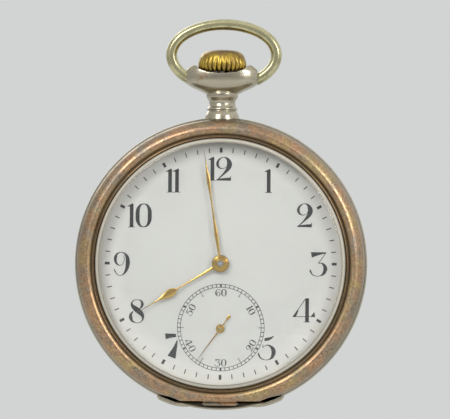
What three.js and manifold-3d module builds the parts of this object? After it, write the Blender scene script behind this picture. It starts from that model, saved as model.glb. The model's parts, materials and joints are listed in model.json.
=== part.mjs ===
// A stem-wound open-face fob watch: hinged bezel, back and inner cover, bow on the pendant,
// enamel dial with small seconds at six, and a lever movement under two bridges.
// Millimetres. The dial faces -Y, twelve o'clock is +Z. Inside the `watch` group the origin is the
// dial's centre; the exported group is shifted so that its origin is where the bow hangs.
import * as THREE from "three";
import { mergeVertices } from "three/addons/utils/BufferGeometryUtils.js";
import Module from "manifold-3d";

const wasm = await Module();
wasm.setup();

// ---- driving dimensions -------------------------------------------------------------------
const CLEAR = 0.05; // between pieces that seat on or beside each other
const RUN = 0.04; // radial clearance of a pivot in its hole
const MESH = 0.1; // how far the tips of two meshed gears reach into each other

const CASE_R = 25; // outside of the case band
const MOVEMENT_R = 21.4; // a 19 ligne movement
const RIM = 0.35; // how far the lids stay inside the band's outside
const BAND_FRONT = -2.2; // seam between bezel and band
const BAND_BACK = 2.6; // seam between band and back cover
const RING_STEPS = 40; // facets round the large rings

const STEM_Y = 0.5; // depth of the winding stem, the pendant and the bow
const DIAL_FRONT = -2.7;
const DIAL_THICK = 0.75;
const PLATE_FRONT = -1.9;
const PLATE_BACK = 0.4;
const BRIDGE_FRONT = 2.6;
const BRIDGE_BACK = 3.6;
const BRIDGE_R = 20.6;
const PLATE_RECESS = 0.9; // pocket under the dial for the motion work

const CRYSTAL_R = 21.4;
const CRYSTAL_THICK = 1.0;
const BEZEL_WINDOW_R = 20.75; // opening of the ledge under the crystal
const BEZEL_TOP = -5.4;

const COVER_THICK = 0.5;
const BACK_TOP = 6.1;
const BACK_FLAT_R = 6; // flat centre of the back cover
const INNER_COVER_R = 22.45;
const INNER_COVER_THICK = 0.35;
const INNER_COVER_TOP = 4.75;

const HINGE_R = 0.38; // outside of the bezel and back hinges
const HINGE_HALF = 7.4;
const HINGE_DOWN = 23.9; // below the dial's centre
const KNUCKLE_HALF = 2.85; // middle knuckle, carried by the lid
const INNER_HINGE_R = 0.28;
const INNER_HINGE_HALF = 5;
const INNER_HINGE_DOWN = 22.3;
const INNER_KNUCKLE_HALF = 1.9;
const HINGE_PIN_R = 0.17;
const EAR_OUT = 0.25; // how far the wings beside a hinge stand out of the band
const EAR_THICK = 0.5;
const EAR_DEEP = 1.2;
const EAR_END = 10.9; // where the wings end, from the middle of the hinge

const SECONDS_DOWN = 11.1; // seconds dial below the dial's centre
const HOUR_HAND = 16.5;
const MINUTE_HAND = 19.7;
const SECONDS_HAND = 7.0;
const HOUR_ANGLE = 239.3; // degrees clockwise from twelve, the time being 7:58:36
const MINUTE_ANGLE = 351.6;
const SECONDS_ANGLE = 216;

const PENDANT_FOOT = CASE_R - 0.25;
const PENDANT_R = 2.92;
const HEAD_HALF = 6.04; // half the width of the pendant's head
const HEAD_DEPTH = 3.4; // half its depth
const BOW_PIVOT = 31.95; // height of the bow's pivots
const TENON_R = 0.7;
const BOW_WIRE_R = 0.95;
const BOW_HALF = 8.87; // half width of the bow, to the middle of its wire
const BOW_SHOULDER = 35.9; // height at which it is widest
const BOW_TOP = 40.86;
const BOW_DROP = 5.5; // height of the lower part of its oval
const BOW_END_ANGLE = 40; // how far round the lower oval the wire runs, in degrees

const CROWN_R = 4.05;
const CROWN_LOW = 32.95;
const CROWN_TOP = 36.75;
const CROWN_FLUTES = 24;
const CROWN_PULL = 1.0;
const STEM_R = 0.95; // winding stem in the pendant
const SLEEVE_R = 1.55;
const SQUARE = 0.8; // stem's square end

const ARBOR_R = 0.35;
const PIVOT_R = 0.15;
const JEWEL_SEAT = 0.3; // how deep the pivots run into plate and bridges

// wheels: teeth, tip radius, thickness, depth of their front face, arms
const BARREL = { teeth: 80, r: 8.8, thick: 0.35, front: 0.55 };
const BARREL_DRUM_R = 7.95;
const BARREL_BACK = 1.95;
const SPRING_FRONT = BARREL.front + BARREL.thick + CLEAR;
const SPRING_BACK = BARREL_BACK - 0.3;
const CENTRE_WHEEL = { teeth: 80, r: 6.6, thick: 0.25, front: 2.15, arms: 5 };
const THIRD_WHEEL = { teeth: 75, r: 5.8, thick: 0.22, front: 0.58, arms: 5 };
const FOURTH_WHEEL = { teeth: 70, r: 5.4, thick: 0.2, front: 1.02, arms: 5 };
const ESCAPE_WHEEL = { teeth: 15, r: 2.6, thick: 0.16, front: 1.36, arms: 4 };
const CENTRE_PINION = { teeth: 10, r: 1.2, front: 0.5, back: 1.05 };
const THIRD_PINION = { teeth: 10, r: 0.9, front: 1.95, back: 2.5 };
const FOURTH_PINION = { teeth: 10, r: 0.8, front: 0.5, back: 0.9 };
const ESCAPE_PINION = { teeth: 7, r: 0.6, front: 0.95, back: 1.3 };
const RATCHET = { teeth: 56, r: 6.25, thick: 0.3, front: 3.65 };
const CROWN_WHEEL = { teeth: 40, r: 4.4, thick: 0.3, front: 3.65 };
const SKIRT_FRONT = 2.86; // lower edge of the crown wheel's skirt, just over the winding pinion
const SKIRT_OUTER_R = 4.05;
const SKIRT_INNER_R = 3.2;
const CANNON = { teeth: 12, r: 0.95, front: -1.55, back: -1.1 };
const MINUTE_WHEEL = { teeth: 36, r: 2.55, thick: 0.25, front: -1.5 };
const MINUTE_PINION = { teeth: 10, r: 0.8 };
const MOTION_DISTANCE = CANNON.r + MINUTE_WHEEL.r - MESH;
const HOUR_WHEEL = {
  teeth: 40,
  r: MOTION_DISTANCE + MESH - MINUTE_PINION.r,
  thick: 0.24,
  front: -1.88,
};
const HOUR_PIPE_R = 1.0;
const HOUR_BORE_R = 0.72;
const CANNON_PIPE_R = 0.68;

const BALANCE_R = 6.8;
const BALANCE_AT = 13.9; // balance centre from the dial centre
const BALANCE_ANGLE = 215.6;
const BALANCE_FRONT = 2.1;
const BALANCE_THICK = 0.6;
const HAIRSPRING_R = 3.4;
const COCK_FRONT = 3.12;
const COCK_BACK = 3.75;
const LEVER_LENGTH = 5.2; // pallet fork, pivot to notch
const PALLET_REACH = 3.4; // escape wheel centre to pallet pivot

const WINDING_PINION = { teeth: 16, r: 2.25, low: 14.25, high: 15.45 };
const CLUTCH = { teeth: 14, r: 1.3, low: 12.7, high: 14.1 };
const CLUTCH_TRAVEL = 0.8;
const WINDING_ARBOR_R = 0.6;
const ARBOR_SOCKET_R = 1.1;
const CASE_SCREW_R = 0.5;
const SCREW_HEAD_R = 1.0;
const SCREW_HEAD = 0.4;

// ---- finishes -----------------------------------------------------------------------------
const finish = (color, roughness, metalness) =>
  new THREE.MeshStandardMaterial({ color, roughness, metalness });
const ROSE_GOLD = finish("#a8866e", 0.35, 1);
const SILVER = finish("#b4afa4", 0.35, 1);
const NICKEL_SILVER = finish("#aaa573", 0.35, 1);
const GOLD = finish("#c8a03c", 0.28, 1);
const ENAMEL = finish("#dadcd8", 0.15, 0);
const BRASS = finish("#b89a58", 0.35, 1);
const GILT = finish("#c2a668", 0.4, 1);
const STEEL = finish("#8c9096", 0.25, 1);
const BLUED = finish("#2b3a6a", 0.25, 1);
const GLASS = new THREE.MeshStandardMaterial({
  color: "#f4f6f6",
  roughness: 0.03,
  metalness: 0,
  transparent: true,
  opacity: 0.2,
});

// ---- solids -------------------------------------------------------------------------------
const rad = THREE.MathUtils.degToRad;

function solid(geometry) {
  const bare = geometry.index ? geometry.clone() : mergeVertices(geometry, 0);
  bare.deleteAttribute("normal");
  bare.deleteAttribute("uv");
  const merged = mergeVertices(bare, 1e-4);
  const triVerts = new Uint32Array(merged.index.array);
  const vertProperties = merged.attributes.position.array;
  const made = new wasm.Manifold(
    new wasm.Mesh({ numProp: 3, vertProperties, triVerts }),
  );
  if (made.volume() > 0) return made;
  for (let i = 0; i < triVerts.length; i += 3) {
    [triVerts[i + 1], triVerts[i + 2]] = [triVerts[i + 2], triVerts[i + 1]];
  }
  return new wasm.Manifold(
    new wasm.Mesh({ numProp: 3, vertProperties, triVerts }),
  );
}

const join = (first, ...rest) => rest.reduce((a, b) => a.add(b), first);
const cut = (first, ...rest) => rest.reduce((a, b) => a.subtract(b), first);

function geometryOf(body) {
  const mesh = body.getMesh();
  const positions = new Float32Array(mesh.numVert * 3);
  for (let i = 0; i < mesh.numVert; i++) {
    const at = i * mesh.numProp;
    positions.set(mesh.vertProperties.subarray(at, at + 3), i * 3);
  }
  const geometry = new THREE.BufferGeometry();
  geometry.setAttribute("position", new THREE.BufferAttribute(positions, 3));
  geometry.setIndex(new THREE.BufferAttribute(new Uint32Array(mesh.triVerts), 1));
  return geometry;
}

// A solid turned about the watch's axis from points [radius, depth]; the profile closes itself.
function turned(profile, steps = RING_STEPS) {
  const points = [...profile, profile[0]].map(([r, y]) => new THREE.Vector2(r, y));
  return solid(new THREE.LatheGeometry(points, steps));
}

// The same about a vertical axis at the stem's depth, from points [radius, height].
function turnedUpright(profile, steps = 24) {
  const points = [...profile, profile[0]].map(([r, z]) => new THREE.Vector2(r, z));
  const geometry = new THREE.LatheGeometry(points, steps);
  return solid(geometry.rotateX(Math.PI / 2).translate(0, STEM_Y, 0));
}

// A flat outline in the dial's plane, made thick from depth `front` to depth `back`.
function plate(shape, front, back, curveSegments = 8) {
  const options = { depth: back - front, bevelEnabled: false, curveSegments };
  const geometry = new THREE.ExtrudeGeometry(shape, options);
  return solid(geometry.rotateX(Math.PI / 2).translate(0, back, 0));
}

// A round bar between two depths, at [x, z] in the dial's plane.
function bar([x, z], r, front, back, steps = 10) {
  const geometry = new THREE.CylinderGeometry(r, r, back - front, steps);
  return solid(geometry.translate(x, (front + back) / 2, z));
}

// A round bar along X between two sides, at depth y and height z.
function crossBar(y, z, r, left, right, steps = 14) {
  const geometry = new THREE.CylinderGeometry(r, r, right - left, steps);
  return solid(geometry.rotateZ(Math.PI / 2).translate((left + right) / 2, y, z));
}

// A round bar along Z at the stem's depth.
function uprightBar(r, low, high, steps = 16) {
  const geometry = new THREE.CylinderGeometry(r, r, high - low, steps);
  return solid(geometry.rotateX(Math.PI / 2).translate(0, STEM_Y, (low + high) / 2));
}

function box([x0, x1], [y0, y1], [z0, z1]) {
  const geometry = new THREE.BoxGeometry(x1 - x0, y1 - y0, z1 - z0);
  return solid(geometry.translate((x0 + x1) / 2, (y0 + y1) / 2, (z0 + z1) / 2));
}

// A hole that clears a round of radius r by `gap`, whatever way the facets fall.
const holeR = (r, gap, steps = 10) => (r + gap) / Math.cos(Math.PI / steps);

const polar = (r, degrees, [x, z] = [0, 0]) => [
  x + r * Math.cos(rad(degrees)),
  z + r * Math.sin(rad(degrees)),
];

// ---- gears --------------------------------------------------------------------------------
function toothed(teeth, tipR, depth) {
  const shape = new THREE.Shape();
  const step = (2 * Math.PI) / teeth;
  const rootR = tipR - depth;
  for (let i = 0; i < teeth; i++) {
    for (const [r, share] of [
      [tipR, 0],
      [rootR, 0.5],
    ]) {
      const angle = (i + share) * step;
      const at = [r * Math.cos(angle), r * Math.sin(angle)];
      if (i + share === 0) shape.moveTo(...at);
      else shape.lineTo(...at);
    }
  }
  shape.closePath();
  return shape;
}

// Openings between the arms of a wheel.
function openings(shape, arms, hubR, rimR, armWidth) {
  for (let i = 0; i < arms; i++) {
    const path = new THREE.Path();
    const side = (r) => Math.asin(armWidth / 2 / r);
    const from = (2 * Math.PI * i) / arms;
    const to = (2 * Math.PI * (i + 1)) / arms;
    const outer = [from + side(rimR), to - side(rimR)];
    const inner = [to - side(hubR), from + side(hubR)];
    const chords = arms < 4 ? 8 : 3;
    for (let k = 0; k <= chords; k++) {
      const a = THREE.MathUtils.lerp(outer[0], outer[1], k / chords);
      const at = [rimR * Math.cos(a), rimR * Math.sin(a)];
      if (k === 0) path.moveTo(...at);
      else path.lineTo(...at);
    }
    const hubChords = arms < 4 ? 4 : 1;
    for (let k = 0; k <= hubChords; k++) {
      const a = THREE.MathUtils.lerp(inner[0], inner[1], k / hubChords);
      path.lineTo(hubR * Math.cos(a), hubR * Math.sin(a));
    }
    path.closePath();
    shape.holes.push(path);
  }
}

function roundHole(shape, r, steps = 16) {
  const path = new THREE.Path();
  for (let i = 0; i < steps; i++) {
    const a = (-2 * Math.PI * i) / steps;
    if (i === 0) path.moveTo(r, 0);
    else path.lineTo(r * Math.cos(a), r * Math.sin(a));
  }
  path.closePath();
  shape.holes.push(path);
}

function wheel(size, boreR, depth = 0.35) {
  const shape = toothed(size.teeth, size.r, depth);
  const rimR = size.r - depth - 0.45;
  if (size.arms) openings(shape, size.arms, boreR + 0.55, rimR, 0.5);
  roundHole(shape, boreR);
  return plate(shape, size.front, size.front + size.thick);
}

// An arbor with its pinion, a collet for the wheel, and a pivot at each end.
function arbor(pinion, front, back, colletR) {
  const leaves = plate(toothed(pinion.teeth, pinion.r, 0.25), pinion.front, pinion.back);
  const from = front + JEWEL_SEAT;
  const to = back - JEWEL_SEAT;
  return join(
    bar(CENTRE, colletR, Math.max(from, PLATE_BACK + CLEAR), Math.min(to, BRIDGE_FRONT - CLEAR)),
    leaves,
    bar(CENTRE, PIVOT_R, front, back, 8),
  );
}

const placed = (body, [x, z]) => body.translate([x, 0, z]);

// ---- where the wheels stand ---------------------------------------------------------------
const CENTRE = [0, 0];
const FOURTH_AT = [0, -SECONDS_DOWN];
const BARREL_AT = polar(BARREL.r + CENTRE_PINION.r - MESH, 150);
const thirdToCentre = CENTRE_WHEEL.r + THIRD_PINION.r - MESH;
const thirdToFourth = THIRD_WHEEL.r + FOURTH_PINION.r - MESH;
const thirdDown =
  (thirdToCentre ** 2 - thirdToFourth ** 2 + SECONDS_DOWN ** 2) / (2 * SECONDS_DOWN);
const THIRD_AT = [Math.sqrt(thirdToCentre ** 2 - thirdDown ** 2), -thirdDown];
const ESCAPE_AT = polar(FOURTH_WHEEL.r + ESCAPE_PINION.r - MESH, 222, FOURTH_AT);
const BALANCE = polar(BALANCE_AT, BALANCE_ANGLE);
const leverAngle = THREE.MathUtils.radToDeg(
  Math.atan2(BALANCE[1] - ESCAPE_AT[1], BALANCE[0] - ESCAPE_AT[0]),
);
const PALLET_AT = polar(PALLET_REACH, leverAngle, ESCAPE_AT);
const COCK_FOOT = polar(18.9, 185);
const RATCHET_AT = BARREL_AT;
const CROWN_WHEEL_UP = 11;
const MINUTE_WHEEL_AT = polar(MOTION_DISTANCE, 50);
const BRIDGE_LINE = 0.75; // height of the seam between the two bridges

const screwPlaces = {
  barrel_bridge_screw_left: polar(19.9, 168),
  barrel_bridge_screw_right: polar(19.9, 20),
  train_bridge_screw: polar(19.7, 300),
  balance_cock_screw: COCK_FOOT,
};
const caseScrewPlaces = {
  case_screw_left: polar(MOVEMENT_R - 0.6, 135),
  case_screw_right: polar(MOVEMENT_R - 0.6, 325),
};
const LEDGE_BACK = 1.2; // face of the band that the case screws hold on to

// ---- case ---------------------------------------------------------------------------------
const LID_R = CASE_R - RIM;
const LID_CUT = HINGE_DOWN - HINGE_R - 0.1; // lids are cut straight above the hinge
const KNUCKLE_GAP = 0.05;

// Pin hole of a hinge, right through it.
const pinHole = (y, down, half) =>
  crossBar(y, -down, holeR(HINGE_PIN_R, RUN, 14), -half - 1, half + 1);

function knuckle(y, down, r, from, to) {
  return crossBar(y, -down, r, from, to);
}

// A straight pocket that leaves room for one knuckle and what carries it.
function knuckleRoom(y, down, r, half) {
  return crossBar(y, -down, holeR(r, CLEAR, 14), -half - KNUCKLE_GAP, half + KNUCKLE_GAP);
}

// A lip along the band's edge beside a hinge, standing a little proud of it.
function wing(side, [front, back]) {
  const outer = CASE_R + EAR_OUT;
  const lip = turned(
    [
      [outer - EAR_THICK, front],
      [outer, front],
      [outer, back],
      [outer - EAR_THICK, back],
    ],
    2 * RING_STEPS,
  );
  const sides = [side * (HINGE_HALF - 0.4), side * EAR_END].sort((a, b) => a - b);
  return lip.intersect(box(sides, [front, back], [-CASE_R - 1, 0]));
}

function caseMiddle() {
  const seatY = -1;
  let ring = turned([
    [MOVEMENT_R + 0.2, BAND_BACK],
    [MOVEMENT_R + 0.2, seatY],
    [MOVEMENT_R + 0.6, seatY],
    [MOVEMENT_R + 0.6, BAND_FRONT],
    [CASE_R - 0.2, BAND_FRONT],
    [CASE_R, BAND_FRONT + 1],
    [CASE_R, BAND_BACK - 1],
    [CASE_R - 0.2, BAND_BACK],
  ]);
  for (const [y, ear] of [
    [BAND_FRONT, [BAND_FRONT, BAND_FRONT + EAR_DEEP]],
    [BAND_BACK, [BAND_BACK - EAR_DEEP, BAND_BACK]],
  ]) {
    ring = cut(ring, knuckleRoom(y, HINGE_DOWN, HINGE_R, KNUCKLE_HALF));
    for (const side of [-1, 1]) {
      const ends = [side * (KNUCKLE_HALF + KNUCKLE_GAP), side * HINGE_HALF];
      const [from, to] = ends.sort((a, b) => a - b);
      ring = join(ring, knuckle(y, HINGE_DOWN, HINGE_R, from, to), wing(side, ear));
    }
    ring = cut(ring, pinHole(y, HINGE_DOWN, HINGE_HALF));
  }
  ring = cut(
    ring,
    knuckleRoom(BAND_BACK, INNER_HINGE_DOWN, INNER_HINGE_R, INNER_KNUCKLE_HALF),
  );
  for (const side of [-1, 1]) {
    const ends = [side * (INNER_KNUCKLE_HALF + KNUCKLE_GAP), side * INNER_HINGE_HALF];
    const [from, to] = ends.sort((a, b) => a - b);
    ring = join(ring, knuckle(BAND_BACK, INNER_HINGE_DOWN, INNER_HINGE_R, from, to));
  }
  ring = cut(ring, pinHole(BAND_BACK, INNER_HINGE_DOWN, INNER_HINGE_HALF));
  for (const at of Object.values(caseScrewPlaces)) {
    ring = cut(ring, bar(at, SCREW_HEAD_R + 2 * CLEAR, LEDGE_BACK, BAND_BACK + 1));
  }
  return cut(ring, uprightBar(holeR(STEM_R, CLEAR), MOVEMENT_R - 2, CASE_R + 2));
}

function bezel() {
  const foot = BAND_FRONT - CLEAR;
  const ring = turned([
    [MOVEMENT_R + 0.6, foot],
    [LID_R, foot],
    [LID_R, foot - 0.7],
    [LID_R - 0.3, foot - 1.6],
    [LID_R - 0.95, BEZEL_TOP + 0.55],
    [LID_R - 1.7, BEZEL_TOP + 0.2],
    [22.4, BEZEL_TOP + 0.45],
    [22.1, BEZEL_TOP + 0.95],
    [21.95, BEZEL_TOP + 0.5],
    [CRYSTAL_R + CLEAR, BEZEL_TOP + 0.45],
    [CRYSTAL_R + CLEAR, -4.15],
    [BEZEL_WINDOW_R, -4.15],
    [BEZEL_WINDOW_R, -3.2],
    [MOVEMENT_R, DIAL_FRONT - 0.15],
  ]);
  const wide = HINGE_HALF + 0.1;
  const straight = box([-wide, wide], [BEZEL_TOP - 1, 0], [-30, -LID_CUT]);
  const lug = box(
    [-KNUCKLE_HALF, KNUCKLE_HALF],
    [BAND_FRONT - HINGE_R, foot],
    [-HINGE_DOWN, -LID_CUT + 0.3],
  );
  const roll = knuckle(BAND_FRONT, HINGE_DOWN, HINGE_R, -KNUCKLE_HALF, KNUCKLE_HALF);
  const hole = pinHole(BAND_FRONT, HINGE_DOWN, HINGE_HALF);
  return cut(join(cut(ring, straight), lug, roll), hole);
}

function crystal() {
  const edge = CRYSTAL_R;
  const back = -4.15 - CLEAR;
  return turned([
    [0, -4.75],
    [12, -4.62],
    [edge - 0.7, back],
    [edge, back],
    [edge, back - 0.55],
    [edge - 0.5, back - CRYSTAL_THICK],
    [12, -4.62 - CRYSTAL_THICK],
    [0, -4.75 - CRYSTAL_THICK],
  ]);
}

function backCover() {
  const foot = BAND_BACK + CLEAR;
  const dome = [
    [0, BACK_TOP],
    [BACK_FLAT_R, BACK_TOP],
    [15, BACK_TOP - 0.2],
    [20, BACK_TOP - 0.6],
    [23, BACK_TOP - 1.2],
    [24.2, BACK_TOP - 2],
    [LID_R, foot + 0.6],
    [LID_R, foot],
  ];
  const inside = [
    [LID_R - 1.15, foot],
    [LID_R - 1.2, foot + 0.9],
    [22.6, BACK_TOP - 1.6],
    [20, BACK_TOP - 0.6 - COVER_THICK],
    [15, BACK_TOP - 0.2 - COVER_THICK],
    [0, BACK_TOP - COVER_THICK],
  ];
  const shell = turned([...dome, ...inside]);
  const wide = HINGE_HALF + 0.1;
  const strap = box([-wide, wide], [foot, BACK_TOP - 1.5], [-LID_CUT, -LID_CUT + 0.6]);
  const whole = turned(dome.concat([[0, foot]]));
  const straight = box([-wide, wide], [0, BACK_TOP], [-30, -LID_CUT]);
  const lug = box(
    [-KNUCKLE_HALF, KNUCKLE_HALF],
    [foot, BAND_BACK + HINGE_R],
    [-HINGE_DOWN, -LID_CUT + 0.3],
  );
  const roll = knuckle(BAND_BACK, HINGE_DOWN, HINGE_R, -KNUCKLE_HALF, KNUCKLE_HALF);
  const hole = pinHole(BAND_BACK, HINGE_DOWN, HINGE_HALF);
  const lid = cut(join(shell, strap.intersect(whole)), straight);
  return cut(join(lid, lug, roll), hole);
}

function innerCover() {
  const foot = BAND_BACK + CLEAR;
  const edge = INNER_COVER_R;
  const thick = INNER_COVER_THICK;
  const dome = [
    [0, INNER_COVER_TOP],
    [12, INNER_COVER_TOP - 0.05],
    [19.5, INNER_COVER_TOP - 0.3],
    [edge - 0.5, INNER_COVER_TOP - 0.75],
    [edge, foot + 0.7],
    [edge, foot],
  ];
  const inside = [
    [edge - 0.45, foot],
    [edge - 0.45, foot + 0.6],
    [edge - 0.9, INNER_COVER_TOP - 1.05],
    [19.5, INNER_COVER_TOP - 0.3 - thick],
    [12, INNER_COVER_TOP - 0.05 - thick],
    [0, INNER_COVER_TOP - thick],
  ];
  const wide = INNER_HINGE_HALF + 0.1;
  const top = INNER_HINGE_DOWN - INNER_HINGE_R - 0.08;
  const strap = box([-wide, wide], [foot, INNER_COVER_TOP - 0.7], [-top, -top + 0.4]);
  const whole = turned(dome.concat([[0, foot]]));
  const straight = box([-wide, wide], [0, INNER_COVER_TOP + 1], [-30, -top]);
  const half = INNER_KNUCKLE_HALF;
  const lug = box([-half, half], [foot, BAND_BACK + INNER_HINGE_R], [-INNER_HINGE_DOWN, -top + 0.2]);
  const roll = knuckle(BAND_BACK, INNER_HINGE_DOWN, INNER_HINGE_R, -half, half);
  const lid = cut(join(turned([...dome, ...inside]), strap.intersect(whole)), straight);
  return cut(join(lid, lug, roll), pinHole(BAND_BACK, INNER_HINGE_DOWN, INNER_HINGE_HALF));
}

// ---- pendant, bow and crown ---------------------------------------------------------------
function pendant() {
  const neck = turnedUpright([
    [0, PENDANT_FOOT - 0.6],
    [PENDANT_R - 0.1, PENDANT_FOOT - 0.6],
    [PENDANT_R, PENDANT_FOOT],
    [PENDANT_R, 26.1],
    [2.5, 26.35],
    [2.75, 26.6],
    [2.75, 27],
    [2.35, 27.6],
    [2.32, 28.2],
    [2.75, 28.9],
    [2.75, 29.6],
    [0, 29.6],
  ]);
  const outline = new THREE.Shape();
  const shoulder = [2.66, 29];
  outline.moveTo(-shoulder[0], shoulder[1]);
  outline.lineTo(shoulder[0], shoulder[1]);
  outline.quadraticCurveTo(4.2, 30.2, HEAD_HALF, 30.75);
  outline.lineTo(HEAD_HALF, 33.1);
  outline.quadraticCurveTo(5.7, 33.9, 4.85, 34.2);
  outline.quadraticCurveTo(0, 31.4, -4.85, 34.2);
  outline.quadraticCurveTo(-5.7, 33.9, -HEAD_HALF, 33.1);
  outline.lineTo(-HEAD_HALF, 30.75);
  outline.quadraticCurveTo(-4.2, 30.2, -shoulder[0], shoulder[1]);
  const wall = plate(outline, STEM_Y - HEAD_DEPTH, STEM_Y + HEAD_DEPTH, 6);
  const plan = new THREE.CylinderGeometry(1, 1, 8, 28).rotateX(Math.PI / 2);
  plan.scale(HEAD_HALF + 0.9, HEAD_DEPTH, 1).translate(0, STEM_Y, 32);
  const head = wall.intersect(solid(plan));
  const seat = CASE_R + CLEAR;
  return cut(
    join(neck, head),
    turned([
      [0, -20],
      [seat, -20],
      [seat, 20],
      [0, 20],
    ]),
    uprightBar(holeR(CROWN_R, 0.15, 24), CROWN_LOW - 0.15, 40, 24),
    uprightBar(holeR(SLEEVE_R, CLEAR), 26, 40),
    uprightBar(holeR(STEM_R, CLEAR), 20, 40),
    crossBar(STEM_Y, BOW_PIVOT, holeR(TENON_R, RUN, 14), -HEAD_HALF - 1, -HEAD_HALF + 1.2),
    crossBar(STEM_Y, BOW_PIVOT, holeR(TENON_R, RUN, 14), HEAD_HALF - 1.2, HEAD_HALF + 1),
  );
}

class BowLine extends THREE.Curve {
  getPoint(t) {
    const end = rad(BOW_END_ANGLE);
    const angle = Math.PI + end - t * (Math.PI + 2 * end);
    const tall = Math.sin(angle) > 0 ? BOW_TOP - BOW_SHOULDER : BOW_DROP;
    return new THREE.Vector3(
      BOW_HALF * Math.cos(angle),
      STEM_Y,
      BOW_SHOULDER + tall * Math.sin(angle),
    );
  }
}

function bow() {
  const ring = new THREE.Shape();
  ring.absarc(0, 0, BOW_WIRE_R, 0, 2 * Math.PI);
  const path = new BowLine();
  const wire = new THREE.ExtrudeGeometry(ring, {
    steps: 30,
    curveSegments: 5,
    extrudePath: path,
  });
  const ends = [-1, 1].map((side) => {
    const face = side * (HEAD_HALF + CLEAR);
    const boss = [face, side * 6.8].sort((a, b) => a - b);
    const tenon = [side * (HEAD_HALF - 1.1), side * 7].sort((a, b) => a - b);
    return join(
      crossBar(STEM_Y, BOW_PIVOT, 1.0, ...boss),
      crossBar(STEM_Y, BOW_PIVOT, TENON_R, ...tenon),
    );
  });
  const inside = box([-HEAD_HALF - CLEAR, HEAD_HALF + CLEAR], [-5, 5], [29, 34.5]);
  return join(cut(solid(wire), inside), ...ends);
}

function crown() {
  const profile = [
    [0, CROWN_LOW],
    [CROWN_R - 0.35, CROWN_LOW],
    [CROWN_R, CROWN_LOW + 0.4],
    [CROWN_R, CROWN_LOW + 1.9],
    [CROWN_R - 0.6, CROWN_LOW + 2.9],
    [CROWN_R - 1.9, CROWN_TOP - 0.25],
    [0, CROWN_TOP],
  ];
  const points = [...profile, profile[0]].map(([r, z]) => new THREE.Vector2(r, z));
  const geometry = new THREE.LatheGeometry(points, 2 * CROWN_FLUTES);
  const at = geometry.attributes.position;
  for (let i = 0; i < at.count; i++) {
    const r = Math.hypot(at.getX(i), at.getZ(i));
    const turn = Math.atan2(at.getZ(i), at.getX(i));
    const valley = 0.5 - 0.5 * Math.cos(turn * CROWN_FLUTES);
    const fade = THREE.MathUtils.smoothstep(r, 1.6, CROWN_R);
    const scale = 1 - 0.07 * valley * fade;
    at.setX(i, at.getX(i) * scale);
    at.setZ(i, at.getZ(i) * scale);
  }
  const knob = solid(geometry.rotateX(Math.PI / 2).translate(0, STEM_Y, 0));
  return cut(knob, uprightBar(holeR(STEM_R, CLEAR), CROWN_LOW - 1, CROWN_LOW + 2.2));
}

function crownStem() {
  const half = SQUARE / 2;
  const low = MOVEMENT_R - 1.2 - CROWN_PULL; // still in its socket when the stem is pulled
  const square = box([-half, half], [STEM_Y - half, STEM_Y + half], [low, 23.6]);
  return join(uprightBar(STEM_R, 23.4, CROWN_LOW + 2.1), square);
}

const pendantSleeve = () =>
  cut(uprightBar(SLEEVE_R, 26.1, 31.2), uprightBar(holeR(STEM_R, RUN), 25, 32));

// ---- dial and hands -----------------------------------------------------------------------
function dial() {
  const back = DIAL_FRONT + DIAL_THICK;
  const disc = turned([
    [0, DIAL_FRONT],
    [MOVEMENT_R - 0.3, DIAL_FRONT],
    [MOVEMENT_R - 0.05, DIAL_FRONT + 0.2],
    [MOVEMENT_R - 0.05, back],
    [0, back],
  ]);
  const feet = [25, 205].map((degrees) => bar(polar(18.6, degrees), 0.4, back - 0.1, -0.9, 12));
  return cut(
    join(disc, ...feet),
    bar(CENTRE, 1.25, -5, 0, 20),
    bar(FOURTH_AT, 0.45, -5, 0, 14),
  );
}

// A hand pointing to twelve: half widths [distance from its hub, half width], then turned.
function hand(outline, hubR, boreR, front, thick, degrees) {
  const shape = new THREE.Shape();
  const left = outline.map(([z, half]) => [-half, z]).reverse();
  const right = outline.map(([z, half]) => [half, z]);
  [...right, ...left].forEach(([x, z], i) => {
    if (i === 0) shape.moveTo(x, z);
    else shape.lineTo(x, z);
  });
  shape.closePath();
  const blade = plate(shape, front, front + thick);
  const whole = cut(
    join(blade, bar(CENTRE, hubR, front, front + thick, 20)),
    bar(CENTRE, boreR, front - 1, front + thick + 1, 14),
  );
  return whole.rotate([0, degrees, 0]);
}

const minuteHand = () =>
  hand(
    [
      [0, 0.3],
      [1.4, 0.2],
      [4.8, 0.29],
      [9.3, 0.13],
      [12.2, 0.16],
      [14.2, 0.3],
      [15.6, 0.2],
      [MINUTE_HAND, 0.03],
    ],
    1.3,
    holeR(0.45, CLEAR, 14),
    -3.75,
    0.16,
    MINUTE_ANGLE,
  );

const hourHand = () =>
  hand(
    [
      [0, 0.4],
      [1.4, 0.27],
      [8.6, 0.13],
      [9, 0.45],
      [9.8, 0.73],
      [10.8, 0.55],
      [12.2, 0.12],
      [HOUR_HAND, 0.03],
    ],
    1.46,
    holeR(1.0, CLEAR, 14),
    -3.4,
    0.16,
    HOUR_ANGLE,
  );

const secondsHand = () =>
  placed(
    hand(
      [
        [-2.66, 0.12],
        [-2.2, 0.3],
        [-1.6, 0.1],
        [0, 0.2],
        [2, 0.1],
        [SECONDS_HAND, 0.03],
      ],
      0.75,
      holeR(PIVOT_R, CLEAR, 14),
      -3.05,
      0.14,
      SECONDS_ANGLE,
    ),
    FOURTH_AT,
  );

const cannonPinion = () =>
  cut(
    join(
      bar(CENTRE, CANNON_PIPE_R, -3.55, CANNON.front + 0.1),
      bar(CENTRE, 0.45, -3.95, -3.5),
      plate(toothed(CANNON.teeth, CANNON.r, 0.25), CANNON.front, CANNON.back),
    ),
    bar(CENTRE, holeR(0.3, CLEAR), -3.8, 0),
  );

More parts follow.
